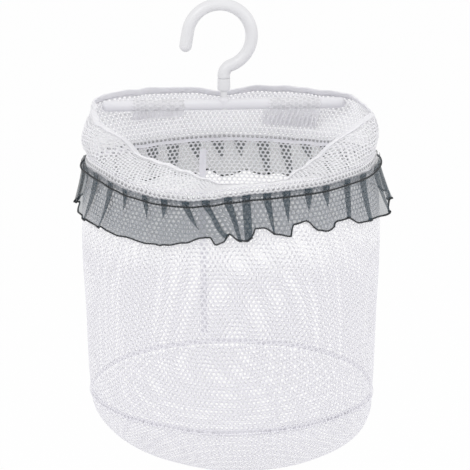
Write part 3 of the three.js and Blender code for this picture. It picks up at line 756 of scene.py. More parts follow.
# A point on the collar, by its distance above the channel along the cloth and its offset outwards
def collarPoint(azimuth, distance, offset):
    azimuth, distance = np.broadcast_arrays(np.asarray(azimuth, float), np.asarray(distance, float))
    low, high = np.moveaxis(eased(collarLeans, azimuth), -1, 0)
    parts = 16
    inward, rise = np.zeros(azimuth.shape), np.zeros(azimuth.shape)
    for i in range(parts):
        lean = np.radians(low + (high - low) * ((i + 0.5) * distance / parts) / bag["collarHeight"])
        inward = inward + distance / parts * np.sin(lean)
        rise = rise + distance / parts * np.cos(lean)
    lean = np.radians(low + (high - low) * distance / bag["collarHeight"])
    waves = np.sin(np.radians(bag["ripples"] * azimuth) + 2 * np.sin(np.radians(3 * azimuth)))
    ripple = bag["ripple"] * (np.clip(distance, 0, None) / bag["collarHeight"]) ** 1.5 * waves
    settle = np.clip(1 - distance / bag["collarHeight"], 0, 1)
    radius = bag["hoopRadius"] - inward + (offset + ripple) * np.cos(lean)
    height = bag["ringZ"] + bag["channelHeight"] + rise + (offset + ripple) * np.sin(lean)
    return placeAt(radius, azimuth, height + liftAt(azimuth) * settle)


ringStations = np.linspace(-180, 180, 361)
wholeRound = 2 * np.pi * bag["hoopRadius"]


def ringUv(rows):
    across = (ringStations + 180) / 360 * wholeRound
    return np.stack(np.meshgrid(across, rows), -1)


# The surface that a net is bent onto
def formOf(name, points, flat, turnOut=1.0):
    outward = outwardOf(points) * turnOut
    faces = gridFaces(points.shape[0], points.shape[1], False, False)
    return newObject(name, meshOf(name, points, faces, flat, outward))


# Painted light on the net near the mouth fades out between these distances below the ring.
paintedLightFade = {"from": 45, "over": 35}  # distances below the ring


# Painted light: 1 down to the hem of the ruffle, where the net is made paler to lift the shade inside the
# mouth, and 0 further down
def paintedLightShare(height):
    return 1 - smooth(np.clip((bag["ringZ"] - height - paintedLightFade["from"]) / paintedLightFade["over"], 0, 1))


def weaveNet(name, form, columns, rows, pitch, left=0.0, start=0.0, wrap=None, reach=None):
    values = {
        "Tile": netTile,
        "Material": finishes["whiteNet"],
        "Pitch": pitch * 0.001,
        "Columns": columns,
        "Rows": rows,
        "Left": left * 0.001,
        "Start": start * 0.001,
        "Lift": net["lift"] * 0.001,
    }
    if wrap:
        values["Wrap Low"], values["Wrap High"] = 0.0, wrap * 0.001
    if reach:
        values["Reach"] = reach * 0.001
    made = runTree(form, netTree, values, name)
    mesh = bmesh.new()
    mesh.from_mesh(made.data)
    bmesh.ops.remove_doubles(mesh, verts=mesh.verts, dist=0.00003)
    bmesh.ops.dissolve_degenerate(mesh, edges=mesh.edges, dist=0.000005)
    bmesh.ops.holes_fill(mesh, edges=[edge for edge in mesh.edges if edge.is_boundary], sides=4)
    bmesh.ops.triangulate(mesh, faces=mesh.faces)
    boundary = sum(edge.is_boundary for edge in mesh.edges)
    mesh.to_mesh(made.data)
    mesh.free()
    made.data.polygons.foreach_set("use_smooth", np.zeros(len(made.data.polygons), bool))
    places = np.empty(len(made.data.vertices) * 3)
    made.data.vertices.foreach_get("co", places)
    # Painted light: each point's share of the paler net colour that lifts the shade near the mouth
    layer = made.data.attributes.new("paintedLight", "FLOAT", "POINT")
    layer.data.foreach_set("value", paintedLightShare(places[2::3] * 1000).astype(np.float32))
    print(name, "has", len(made.data.polygons), "triangles,", boundary, "open edges")
    return made


solidShare = 1 - net["holeShare"] ** 2


def declareNet(width, length, shape=1.0):
    width * 0.001
    length * 0.001
    width * length * shape * solidShare * 1e-6


# Wall. The form runs past the net by a spare at its top and foot.
wall = {"columns": 178, "tuck": 3.5, "spareTop": 1, "spareFoot": 3}


def makeWall():
    drops = np.linspace(-wall["tuck"], bag["wallHeight"], 90)
    top, foot = -wall["tuck"] - wall["spareTop"], bag["wallHeight"] + wall["spareFoot"]
    drops = np.concatenate([[top], drops, [foot]])
    azimuth, drop = np.meshgrid(ringStations, drops)
    points = wallPoint(azimuth, np.minimum(drop, bag["wallHeight"]))
    points[..., 2] += np.minimum(bag["wallHeight"] - drop, 0)
    flat = ringUv(drops + wall["tuck"] + wall["spareTop"])
    form = formOf("wallForm", points, flat, turnOut=-1.0)
    pitch = wholeRound / wall["columns"]
    rows = int((bag["wallHeight"] + wall["tuck"]) / (pitch * rowShare))
    start = pitch * 0.5 + wall["spareTop"]
    made = weaveNet("wallNet", form, wall["columns"], rows, pitch, start=start, wrap=wholeRound)
    stands(made, "bag", "white_mesh", "body_panel")
    return made


wallNet = makeWall()


# Bottom: a flat round of net, gathered at the seam and hanging as a bowl
bottom = {"flange": 5.0, "inset": 0.9, "gather": 0.7, "gathers": 46, "gatherReach": 34, "uneven": 2.5}


def bottomProfile():
    turn = np.linspace(0, np.pi / 2, 60)[::-1]
    shareOut = np.cos(turn) ** (2 / bag["bowlPower"])
    shareOut[0] = 0.0
    drop = bag["bowlDepth"] * np.sin(turn) ** (2 / bag["bowlPower"])
    shareOut = np.append(shareOut, [1.0, 1.0])
    drop = np.append(drop, [-bottom["flange"] / 2, -bottom["flange"]])
    edge = bag["bottomRadius"] - bottom["inset"]
    reach = np.concatenate([[0], np.cumsum(np.hypot(np.diff(shareOut * edge), np.diff(drop)))])
    return shareOut, drop, reach


def makeBottom():
    shareOut, drop, reach = bottomProfile()
    azimuth = np.broadcast_to(ringStations, (len(reach), len(ringStations)))
    edge = wallRadius(ringStations, 1.0) - bottom["inset"]
    uneven = bottom["uneven"] * np.sin(np.radians(4 * azimuth))
    gather = bottom["gather"] * np.sin(np.radians(bottom["gathers"] * azimuth) + uneven)
    nearSeam = np.clip(1 - (reach[-3] - reach) / bottom["gatherReach"], 0, 1)[:, None] ** 1.5
    nearSeam = nearSeam * (drop > 1)[:, None]
    radius = shareOut[:, None] * edge[None] + gather * nearSeam
    points = placeAt(radius, azimuth, (bottomZ - drop)[:, None])
    turn = np.radians(azimuth)
    flat = np.stack([reach[:, None] * np.sin(turn), reach[:, None] * np.cos(turn)], -1)
    form = formOf("bottomForm", points, flat)
    pitch = net["pitch"]
    columns = int(2 * reach[-1] / pitch) + 1
    rows = int(2 * reach[-1] / (pitch * rowShare)) + 1
    left, start = -columns * pitch / 2, -rows * pitch * rowShare / 2
    made = weaveNet("bottomNet", form, columns, rows, pitch, left, start, reach=reach[-1] - pitch)
    stands(made, "bag", "white_mesh", "bottom_disc")
    return made, reach[-1]


bottomNet, bottomReach = makeBottom()


# Collar: one strip that rises outside the hoop, folds over at the rim and comes down inside the hoop
# Spread is half the distance between its layers, and foot spread the same at the seam. Swell from and
# over give the stretch of height where the channel bulges over the hoop. Slip is how many rows the layers
# have moved past each other at the back, from an azimuth on and over some degrees more.
collar = {
    "columns": 178,
    "leg": 5.0,
    "spread": 0.45,
    "footSpread": 0.95,
    "channelBulge": 2.2,
    "swellFrom": -1.5,
    "swellOver": 13.5,
    "slip": 0.66,
    "slipFrom": 95,
    "slipOver": 25,
}


def legOffset(height):
    swell = np.clip((height - collar["swellFrom"]) / collar["swellOver"], 0, 1)
    swell = np.sin(np.pi * swell) ** 1.5
    share = (height + collar["leg"]) / (bag["channelHeight"] + collar["leg"])
    spread = collar["footSpread"] + (collar["spread"] - collar["footSpread"]) * share
    return spread + collar["channelBulge"] * swell


def legRing(height, side):
    radius = bag["hoopRadius"] + side * legOffset(height)
    return placeAt(radius, ringStations, bag["ringZ"] + height + liftAt(ringStations))


def makeCollar():
    heights = np.linspace(-collar["leg"], bag["channelHeight"], 14)[:-1]
    distances = np.linspace(0, bag["collarHeight"], 24)
    spread = collar["spread"]
    rows = [legRing(height, 1) for height in heights]
    rows += [collarPoint(ringStations, distance, spread) for distance in distances]
    for turn in np.linspace(0, np.pi, 7)[1:-1]:
        reach = bag["collarHeight"] + spread * math.sin(turn)
        rows.append(collarPoint(ringStations, reach, spread * math.cos(turn)))
    rows += [collarPoint(ringStations, distance, -spread) for distance in distances[::-1]]
    rows += [legRing(height, -1) for height in heights[::-1]]
    points = np.stack(rows)
    steps = np.linalg.norm(np.diff(points, axis=0), axis=-1).mean(1)
    run = np.concatenate([[0], np.cumsum(steps)])
    run = (run + run[-1] - run[::-1]) / 2
    pitch = wholeRound / collar["columns"]
    rowPitch = pitch * rowShare
    flat = ringUv(run)
    apart = np.clip((np.abs(ringStations) - collar["slipFrom"]) / collar["slipOver"], 0, 1)
    inner = np.clip((run - run[-1] / 2) / 9, 0, 1)[:, None]
    flat[..., 1] += collar["slip"] * rowPitch * apart * inner
    form = formOf("collarForm", points, flat)
    # The rows match on both sides of the fold, so that the holes of the two layers meet.
    half = int((run[-1] / 2 - pitch * 0.6) / rowPitch)
    start = run[-1] / 2 - half * rowPitch
    # The last row is left off, as the inner layer ends at the seam and the outer one goes on below it.
    made = weaveNet("collarNet", form, collar["columns"], 2 * half, pitch, start=start, wrap=wholeRound)
    stands(made, "bag", "white_mesh", "collar_band")
    return made, run[-1]


collarNet, collarLength = makeCollar()
print("net pieces of the bag are made")


# Rim: the pressed fold of the collar, where the net lies close and shows as a plain band
rim = {"width": 5.0, "outside": 1.0, "inside": 0.7, "over": 0.2}


def makeRim():
    low = bag["collarHeight"] - rim["width"]
    rows = []
    for reach, offset in ((rim["outside"], 1), (rim["inside"], -1)):
        turns = np.linspace(0, np.pi, 7)
        path = [(low, reach), (low + rim["width"] * 0.5, reach)]
        top = bag["collarHeight"] + rim["over"]
        path += [(top + reach * math.sin(turn), reach * math.cos(turn)) for turn in turns]
        path += [(low + rim["width"] * 0.5, -reach), (low, -reach)]
        rows += path[::offset]
    points = np.stack([collarPoint(ringStations[:-1], distance, offset) for distance, offset in rows])
    faces = gridFaces(len(rows), len(ringStations) - 1, True, True)
    made = newObject("rimFold", meshOf("rimFold", points, faces))
    made.data.materials.append(finishes["wovenTape"])
    tidyFaces(made)
    stands(made, "bag", "white_mesh")
    return made


rimFold = makeRim()


# Hoop of wire and the tube that joins its ends at the back, pinched onto them in four places. Ease is the
# room round the wire before the tube is pressed, and edge how much thinner the tube is at its two ends.
hoop = {
    "wire": 2.5,
    "rise": 5.5,
    "ferrule": 24.0,
    "wall": 0.5,
    "leastWall": 0.35,
    "gap": 3.0,
    "ease": 0.3,
    "press": 0.1,
    "pinch": 0.35,
    "pinchReach": 0.07,
    "edge": 0.25,
}
pinchShares = (-0.62, -0.36, 0.36, 0.62)


def ringLine(azimuth, radius, height):
    line = placeAt(radius, azimuth, bag["ringZ"] + height + liftAt(azimuth))
    outward = placeAt(radius + 1, azimuth, bag["ringZ"] + height + liftAt(azimuth)) - line
    return line, outward, np.tile([0.0, 0.0, 1.0], (len(line), 1))


def makeHoop():
    halfGap = math.degrees(hoop["gap"] / 2 / bag["hoopRadius"])
    azimuth = np.linspace(-180 + halfGap, 180 - halfGap, 240)
    line = ringLine(azimuth, bag["hoopRadius"], hoop["rise"])
    section = roundSection(hoop["wire"] / 2, 12)
    wire = sweep("hoopWire", *line, section, False, finishes["springSteel"])
    stands(wire, "bag", "spring_steel", "hoop")
    reach = math.degrees(hoop["ferrule"] / 2 / bag["hoopRadius"])
    bore = hoop["wire"] / 2 + hoop["ease"]
    stations, radii = [], []
    for share in np.linspace(-1, 1, 41):
        near = [math.exp(-(((share - place) / hoop["pinchReach"]) ** 2)) for place in pinchShares]
        pinch = hoop["pinch"] * sum(near)
        edge = hoop["edge"] if abs(share) > 0.985 else 0.0
        stations.append(180 + share * reach)
        radii.append(bore + hoop["wall"] - pinch - edge)
    azimuth = np.concatenate([stations, stations[::-1]])
    inside = bore - hoop["press"]
    outside = np.maximum(radii, inside + hoop["leastWall"])
    radius = np.concatenate([outside, np.full(len(stations), inside)])
    section = radius[:, None, None] * roundSection(1.0, 20)[None]
    line = ringLine(azimuth, bag["hoopRadius"], hoop["rise"])
    tube = sweep("hoopFerrule", *line, section, True, finishes["springSteel"])
    stands(tube, "bag", "spring_steel", "hoop_ferrule")


makeHoop()


# Rings that keep a distance from the hoop, or from the foot of the wall
def besideHoop(distance):
    return lambda azimuth: np.full(azimuth.shape, bag["hoopRadius"] + distance)


def besideWallFoot(distance):
    return lambda azimuth: wallRadius(azimuth, 1.0) + distance


# Tapes over the raw edges inside the seams
tapes = {
    "thickness": 0.6,
    "seamWidth": 3.2,
    "seamOut": -2.4,
    "seamUp": 1.4,
    "seamLean": 1.1,
    "bottomWidth": 4.0,
    "bottomOut": -1.8,
    "bottomUp": 1.5,
    "wallWidth": 7.0,
    "wallAzimuth": -172.0,
    "wallTop": 7.5,
    "wallFoot": 12,
    "ripple": 0.25,
    "ripples": 23,
}


def tapeRing(name, radiusAt, low, width, lifted, node, lean=0.0):
    azimuth = ringStations[:-1]
    half = tapes["thickness"] / 2
    profile = [(half, 0), (half * 1.1, 0.5), (half, 1), (-half, 1), (-half * 0.9, 0.5), (-half, 0)]
    wave = tapes["ripple"] * np.sin(np.radians(tapes["ripples"] * azimuth))
    lift = liftAt(azimuth) if lifted else 0.0
    rows = []
    for out, up in profile:
        radius = radiusAt(azimuth) + out - lean * up
        rows.append(placeAt(radius, azimuth, low + width * up + wave + lift))
    faces = gridFaces(len(profile), len(azimuth), True, True)
    finishTape(name, np.stack(rows), faces, node)


def finishTape(name, points, faces, node):
    made = newObject(name, meshOf(name, points, faces))
    made.data.materials.append(finishes["wovenTape"])
    tidyFaces(made)
    smoothByAngle(made, 40)
    stands(made, "bag", "tape_cloth", node)


def wallTape():
    reach = math.degrees(tapes["wallWidth"] / 2 / bag["hoopRadius"])
    drops = np.linspace(tapes["wallTop"], bag["wallHeight"] - tapes["wallFoot"], 60)
    azimuth = np.full(drops.shape, tapes["wallAzimuth"])
    rows = []
    for side, inset in ((-1, 0.75), (-0.5, 0.7), (0.5, 0.7), (1, 0.75), (1, 1.35), (-1, 1.35)):
        rows.append(wallPoint(azimuth + side * reach, drops, -inset))
    faces = tubeFaces(len(drops), len(rows), False)
    finishTape("wallSeamTape", np.stack(rows, 1), faces, "wall_seam_tape")


def makeTapes():
    ring, foot = besideHoop(tapes["seamOut"]), besideWallFoot(tapes["bottomOut"])
    low, width = bag["ringZ"] + tapes["seamUp"], tapes["seamWidth"]
    tapeRing("seamTape", ring, low, width, True, "seam_tape", lean=tapes["seamLean"])
    low, width = bottomZ + tapes["bottomUp"], tapes["bottomWidth"]
    tapeRing("bottomSeamTape", foot, low, width, False, "bottom_seam_tape")
    wallTape()


makeTapes()


# Seams
def lineHost(name, points, outward, closed):
    count = len(points)
    mesh = bpy.data.meshes.new(name)
    edges = [(i, (i + 1) % count) for i in range(count if closed else count - 1)]
    mesh.from_pydata((points * 0.001).tolist(), edges, [])
    layer = mesh.attributes.new("outward", "FLOAT_VECTOR", "POINT")
    layer.data.foreach_set("vector", np.asarray(outward, np.float32).ravel())
    return newObject(name, mesh)


def stitchRow(name, points, outward, look, closed=True):
    host = lineHost(name + "Line", points, outward, closed)
    return runTree(host, stitchTree, {
        "Stitch": stitchShape,
        "Material": finishes[look["finish"]],
        "Spacing": look["spacing"] * 0.001,
        "Length": look["length"] * 0.001,
        "Width": look["width"] * 0.001,
        "Slant": math.radians(look.get("slant", 0.0)),
        "Unevenness": look.get("uneven", 0.06),
        "Seed": look.get("seed", 3),
    }, name)


def joinPieces(name, pieces):
    mesh = bmesh.new()
    for piece in pieces:
        mesh.from_mesh(piece.data)
    first = pieces[0]
    mesh.to_mesh(first.data)
    mesh.free()
    for piece in pieces[1:]:
        bpy.data.objects.remove(piece)
    first.name = name
    first.data.name = name
    return first


# Out is how far the stitches lie outside the hoop's circle, the foot of the wall or, for the loops, the
# middle of the collar's two layers.
seams = {
    "ruffle": {"finish": "blackThread", "spacing": 2.9, "length": 3.3, "width": 2.1, "seed": 5, "out": 7.45},
    "channel": {"finish": "whiteThread", "spacing": 3.0, "length": 2.5, "width": 0.9, "seed": 7, "out": 1.2},
    "bottom": {"finish": "whiteThread", "spacing": 3.0, "length": 2.6, "width": 0.8, "seed": 9, "out": 0.9},
    "loop": {"finish": "whiteThread", "spacing": 3.0, "length": 2.4, "width": 1.0, "seed": 11, "out": -2.35},
}
bottomSeamUp = 1.6


def ringSeam(kind, radiusAt, height, lifted, slot):
    azimuth = ringStations[:-1]
    z = height + (liftAt(azimuth) if lifted else 0.0)
    points = placeAt(radiusAt(azimuth), azimuth, z)
    outward = placeAt(radiusAt(azimuth) + 1, azimuth, z) - points
    made = stitchRow(kind + "Stitches", points, outward, seams[kind])
    stands(made, "bag", slot, kind + "_stitching")


channelTop = bag["ringZ"] + bag["channelHeight"]
ringSeam("ruffle", besideHoop(seams["ruffle"]["out"]), bag["ringZ"], True, "black_thread")
ringSeam("channel", besideHoop(seams["channel"]["out"]), channelTop, True, "white_thread")
ringSeam("bottom", besideWallFoot(seams["bottom"]["out"]), bottomZ + bottomSeamUp, False, "white_thread")
print("ring seams are stitched")


# Ruffle. Its hem flares out more at the right. Billow is how far the open cloth swings in and out, and
# curl how far out the hem stands for each millimetre that it hangs below the mean drop.
ruffle = {
    "radius": bag["hoopRadius"] + 3.95,
    "count": 39,
    "step": 1.3,
    "overlap": 3.1,
    "header": 5.5,
    "drop": 40.0,
    "flare": 8.0,
    "rightFlare": 4.0,
    "rightAzimuth": 88,
    "rightReach": 24,
    "backOverlap": 0.8,
    "backFrom": 50,
    "backOver": 15,
    "billow": 1.6,
    "meanDrop": 36,
    "curl": 0.55,
    "clothRound": 1357.0,
    "seed": 21,
    "rows": 16,
}
# Pleats at the front, as the photograph shows them: azimuth at the seam, lean at the hem, and the share
# of the drop by which the pleat is fully open, where more than 1 leaves it partly pressed at the hem
frontPleats = [[-66.6, -2, 3], [-55.8, -2, 0.45], [-47.4, 2, 1], [-37.7, 5, 0.5], [-29.4, 0.5, 0.45],
               [-20.8, 9, 3], [-13.2, 8, 0.6], [-5, 4.3, 3], [1.7, 0, 3], [9.4, 3, 0.65], [16.9, 1.6, 1],
               [26, 2, 0.45], [34, 3.7, 0.7], [45.3, -1, 3], [56.1, 0, 0.45], [70.3, 3, 3]]
# Drop of the hem at the front, by azimuth
frontHem = [[-102, 40.6], [-84, 35], [-72.9, 42.5], [-57.4, 41.2], [-43.8, 39.3], [-34.7, 38.6],
            [-27.5, 37.9], [-21.3, 34.2], [-15.2, 30.1], [-11.8, 30.6], [-9.4, 37.4], [-6.9, 36.1],
            [-4.8, 30.6], [-0.6, 36.8], [1.5, 37.7], [3.4, 35], [4.8, 27.9], [7.8, 27.5], [13, 35.1],
            [17.4, 37.2], [19.9, 28], [24.6, 25.7], [29.5, 36.1], [32.2, 37.6], [39.3, 32.1],
            [43.7, 31.4], [48.6, 38.9], [60.7, 40.5], [70, 43]]
faceShare = 0.744  # of a pleat's cloth, up to its outer fold
backShare = 0.914  # and up to its inner fold


def hemTable():
    chance = np.random.default_rng(ruffle["seed"])
    rows = list(frontHem)
    place, high = 70.0, False
    while place < 248:
        place += chance.uniform(5.0, 9.5)
        rows.append([place, chance.uniform(38, 43) if high else chance.uniform(32, 37)])
        high = not high
    return rows


hemRows = hemTable()


def hemDrop(azimuth):
    return eased(hemRows, azimuth)[..., 0]


def pleatTable():
    chance = np.random.default_rng(ruffle["seed"] + 1)
    first, last = frontPleats[0], frontPleats[-1]
    count = ruffle["count"] - len(frontPleats)
    places = np.linspace(last[0], first[0] + 360, count + 2)[1:-1]
    rest = [[place, chance.uniform(-2.5, 3.0), chance.choice([0.45, 0.7, 1.0, 3.0])] for place in places]
    return np.array(frontPleats + rest + [[first[0] + 360, *first[1:]]])


# Shares of a pleat's cloth where it has a column of points, closer together at its folds
def pleatColumns():
    stretches = [(0, 0.70, 13), (0.70, 0.78, 4), (0.78, 0.88, 3), (0.88, 0.95, 4), (0.95, 1, 2)]
    return np.concatenate([np.linspace(low, high, count, endpoint=False) for low, high, count in stretches])


# One pleat at a share of the way down to the hem; the header above the seam has a share below 0
def pleatRow(pleat, after, down):
    node, lean, pressed = pleat
    nextNode, nextLean, nextPressed = after
    share = pleatColumns()
    pressedOut = np.interp(share, [0, 0.3, faceShare, backShare, 1], [0, 1.2, 2, 1, 0]) * ruffle["step"]
    face, back = -np.cos(np.pi * share / faceShare), np.cos(np.pi * (share - faceShare) / (1 - faceShare))
    openOut = np.where(share < faceShare, face, back)
    low = max(down, 0.0)
    width = nextNode - node
    turned = min(abs(nextNode), abs(nextNode - 360))
    away = min(max((turned - ruffle["backFrom"]) / ruffle["backOver"], 0), 1)
    wider = 1 + ruffle["backOverlap"] * away  # away from the front the pleats lap further
    lap = ruffle["overlap"] * wider / width / 2
    pressedAlong = np.interp(share, [0, faceShare, backShare, 1], [0, 1 + lap, 1 - lap, 1])
    kept = pressed + (nextPressed - pressed) * share ** 3
    blend = np.clip(low / kept, 0, 1) ** 1.2
    along = pressedAlong + (share - pressedAlong) * blend
    shift = (lean + (nextLean - lean) * share) * low
    azimuth = node + width * along + shift
    drop = hemDrop(azimuth)
    wave = (drop - ruffle["meanDrop"]) * ruffle["curl"] * low ** 1.4
    out = pressedOut * (1 - blend) + openOut * ruffle["billow"] * blend
    atRight = np.exp(-(((azimuth - ruffle["rightAzimuth"]) / ruffle["rightReach"]) ** 2))
    flare = ruffle["flare"] + ruffle["rightFlare"] * atRight
    radius = ruffle["radius"] + flare * low ** 1.3 + out + wave + 0.6 * max(-down, 0.0)
    fall = ruffle["header"] * down if down < 0 else drop * down
    return placeAt(radius, azimuth, bag["ringZ"] + liftAt(azimuth) - fall)


def makeRuffle():
    pleats = pleatTable()
    rows = []
    for down in [-1.0, -0.5, *np.linspace(0, 1, ruffle["rows"])]:
        line = [pleatRow(pleat, after, down) for pleat, after in zip(pleats, pleats[1:])]
        rows.append(np.concatenate(line))
    points = np.stack(rows)
    points = np.concatenate([points, points[:, :1]], 1)
    across = np.linspace(0, ruffle["clothRound"], points.shape[1])
    heights = ruffle["header"] + np.linspace(0, ruffle["drop"], ruffle["rows"])
    heights = np.concatenate([[0, ruffle["header"] / 2], heights])
    flat = np.stack(np.meshgrid(across, heights), -1)
    outward = -outwardOf(points)
    count = points.shape[1] - 1
    body = points[:, :-1]
    faces = gridFaces(points.shape[0], count, False, True)[:, ::-1]
    made = newObject("organzaRuffle", meshOf("organzaRuffle", body, faces))
    layer = made.data.uv_layers.new(name="flat")
    corners = np.empty(len(made.data.loops), np.int32)
    made.data.loops.foreach_get("vertex_index", corners)
    cut = flat[:, :-1].reshape(-1, 2)[corners] * 0.001
    lastFace = np.repeat(np.arange(len(faces)) % count == count - 1, 4)
    cut[lastFace & (cut[:, 0] < 0.001), 0] = ruffle["clothRound"] * 0.001
    layer.data.foreach_set("uv", cut.astype(np.float32).ravel())
    made.data.materials.append(finishes["darkOrganza"])
    stands(made, "bag", "dark_organza", "ruffle")
    return made, body, outward[:, :-1]


organzaRuffle, rufflePoints, ruffleOut = makeRuffle()

# Hem: a core along the edge, sunk a little below it, and a thread wrapped round both of its faces
hem = {"radius": 0.62, "sides": 7, "sink": 0.6, "wrapOut": 0.75}
hemWrap = {
    "finish": "blackThread",
    "spacing": 1.7,
    "length": 2.3,
    "width": 0.75,
    "slant": 68.0,
    "uneven": 0.12,
    "seed": 13,
}


def makeHem():
    line = rufflePoints[-1]
    tangent = unit(np.roll(line, -1, 0) - np.roll(line, 1, 0))
    outward = unit(ruffleOut[-1] - (ruffleOut[-1] * tangent).sum(1, keepdims=True) * tangent)
    rise = np.cross(tangent, outward)
    centre = line - np.array([0, 0, hem["radius"] * hem["sink"]])
    section = roundSection(hem["radius"], hem["sides"])
    core = sweep("hemCore", centre, outward, rise, section, True, finishes["blackThread"])
    wraps = []
    for i, side in enumerate((1, -1)):
        look = dict(hemWrap, slant=side * hemWrap["slant"], seed=hemWrap["seed"] + i)
        beside = centre + side * outward * hem["radius"] * hem["wrapOut"]
        wraps.append(stitchRow(f"hemWrap{i}", beside, side * outward, look))
    made = joinPieces("ruffleHem", [core, *wraps])
    stands(made, "bag", "black_thread", "ruffle_hem_thread")
    return made


ruffleHem = makeHem()
print("ruffle is pleated and hemmed")


# Loops. The tabs are the heights on the collar between which each side's loop is sewn.
bar = {"x": 4.3, "z": -98.0, "radius": 5.6, "length": 250.0}
loops = {
    "width": 58.0,
    "place": 70.0,
    "tabs": {-1: (28.5, 39.0), 1: (18.5, 30.0)},
    "offset": -1.6,
    "wrap": 6.25,
    "inset": 2.5,
}


def loopPath(across, tabLow, tabHigh):
    azimuth = 180 - math.degrees(math.asin(across / bag["hoopRadius"]))
    tab = collarPoint(azimuth, np.linspace(tabLow, tabHigh, 6) - bag["channelHeight"], loops["offset"])

    def touch(point, side):
        rise = point[2] - bar["z"]
        return math.atan2(rise, point[1]) + side * math.acos(loops["wrap"] / math.hypot(point[1], rise))

    start, end = touch(tab[-1], 1), touch(tab[0], -1) + 2 * math.pi
    turn = np.linspace(start, end, 40)
    x = np.full(turn.shape, bag["centre"][0] + across)
    wrap = np.stack([x, loops["wrap"] * np.cos(turn), bar["z"] + loops["wrap"] * np.sin(turn)], 1)
    path = np.concatenate([tab, wrap, tab[:1]])
    run = np.concatenate([[0], np.cumsum(np.linalg.norm(np.diff(path, axis=0), axis=1))])
    even = np.linspace(0, run[-1], 121)
    return np.stack([np.interp(even, run, path[:, k]) for k in range(3)], 1), run[-1]


# Box of stitches that holds the loop on the collar
def sewLoop(side, name):
    low, high = loops["tabs"][side]
    reach, low, high = loops["width"] / 2 - loops["inset"], low + loops["inset"], high - loops["inset"]
    corners = [(-reach, low), (reach, low), (reach, high), (-reach, high), (-reach, low)]
    route = np.concatenate([np.linspace(a, b, 30, endpoint=False) for a, b in zip(corners, corners[1:])])
    azimuth = 180 - np.degrees(np.arcsin((side * loops["place"] + route[:, 0]) / bag["hoopRadius"]))
    look = seams["loop"]
    line = collarPoint(azimuth, route[:, 1] - bag["channelHeight"], look["out"])
    outward = unit(collarPoint(azimuth, route[:, 1] - bag["channelHeight"], look["out"] - 1) - line)
    box = stitchRow(name + "LoopStitches", line, outward, look)
    stands(box, "bag", "white_thread", name + "_loop_stitching")


def makeLoop(side, name):
    acrossAll = np.linspace(-0.5, 0.5, 15) * loops["width"]
    paths = [loopPath(side * loops["place"] + across, *loops["tabs"][side]) for across in acrossAll]
    length = float(np.mean([whole for _, whole in paths]))
    points = np.stack([path for path, _ in paths])
    along = np.linspace(0, length, points.shape[1])
    flat = np.stack(np.meshgrid(along, acrossAll + loops["width"] / 2), -1)
    form = formOf(name + "LoopForm", points, flat)
    columns = round(length / net["pitch"])
    pitch = length / columns
    rowPitch = pitch * rowShare
    rows = int((loops["width"] - pitch * 1.1) / rowPitch) + 1
    start = (loops["width"] - (rows - 1) * rowPitch) / 2 - pitch * 0.2
    made = weaveNet(name + "LoopNet", form, columns, rows, pitch, start=start, wrap=length)
    stands(made, "bag", "white_mesh", name + "_loop")
    sewLoop(side, name)
    return made, length


leftLoop, leftLength = makeLoop(-1, "left")
rightLoop, rightLength = makeLoop(1, "right")
print("loops are sewn")


# Hanger. Mould line is how far the seam of the mould stands out from the hook, and mould groove how far
# the plastic beside it is sunk. Foot share is the thickness that is left at the foot of the stem.
hook = {
    "section": 12.6,
    "radius": 32.7,
    "tipAngle": 171.0,
    "tipLength": 15.0,
    "bend": 11.0,
    "stemX": 4.3,
    "stemFoot": -69.9,
    "mouldLine": 0.16,
    "mouldGroove": 0.06,
    "footShare": 0.955,
}


# Points of an arc in the plane of the hook, each with the direction along it
def arcOf(x, z, radius, angles):
    return [(x + radius * math.cos(a), z + radius * math.sin(a), -math.sin(a), math.cos(a)) for a in angles]


# The hook's middle line from its tip to its stem, as x, z and the direction
def hookLine():
    radius, bend = hook["radius"], hook["bend"]
    middleZ = hook["section"] / 2 - radius
    join = -math.acos((hook["stemX"] + bend) / (radius + bend))
    bendX = (radius + bend) * math.cos(join)
    bendZ = middleZ + (radius + bend) * math.sin(join)
    ring = arcOf(0.0, middleZ, radius, np.linspace(math.radians(hook["tipAngle"]), join, 150))
    ring = [(x, z, -alongX, -alongZ) for x, z, alongX, alongZ in ring]
    x, z, alongX, alongZ = ring[0]
    reaches = np.linspace(hook["tipLength"], 0, 16)[:-1]
    straight = [(x - alongX * reach, z - alongZ * reach, alongX, alongZ) for reach in reaches]
    back = arcOf(bendX, bendZ, bend, np.linspace(join + math.pi, math.pi, 26)[1:])
    stem = [(hook["stemX"], z, 0.0, -1.0) for z in np.linspace(bendZ, hook["stemFoot"], 4)[1:]]
    return np.array(straight + ring + back + stem)


def makeHook():
    path = hookLine()
    x, z, alongX, alongZ = path[0]
    dome = []
    radius = hook["section"] / 2
    for angle in np.radians([86, 72, 58, 44, 30, 15]):
        back = radius * math.sin(angle)
        dome.append([x - alongX * back, z - alongZ * back, alongX, alongZ, math.cos(angle)])
    body = np.column_stack([path, np.ones(len(path))])
    body[-1, 4] = hook["footShare"]
    rows = np.vstack([dome, body])
    line = np.stack([rows[:, 0], np.zeros(len(rows)), rows[:, 1]], 1)
    side = np.tile([0.0, -1.0, 0.0], (len(rows), 1))
    rise = np.stack([rows[:, 3], np.zeros(len(rows)), -rows[:, 2]], 1)
    turn = np.linspace(0, 2 * np.pi, 48, endpoint=False)
    away = np.minimum(np.abs(turn - np.pi / 2), np.abs(turn - 3 * np.pi / 2))
    swell = radius + hook["mouldLine"] * np.exp(-((away / 0.07) ** 2))
    swell = swell - hook["mouldGroove"] * np.exp(-((away / 0.3) ** 2))
    ring = np.stack([swell * np.cos(turn), swell * np.sin(turn)], 1)
    section = rows[:, 4][:, None, None] * ring[None]
    made = sweep("openHook", line, side, rise, section, False, finishes["hookPlastic"])
    smoothByAngle(made, 45)
    stands(made, "hook", "hook_plastic", "hook")


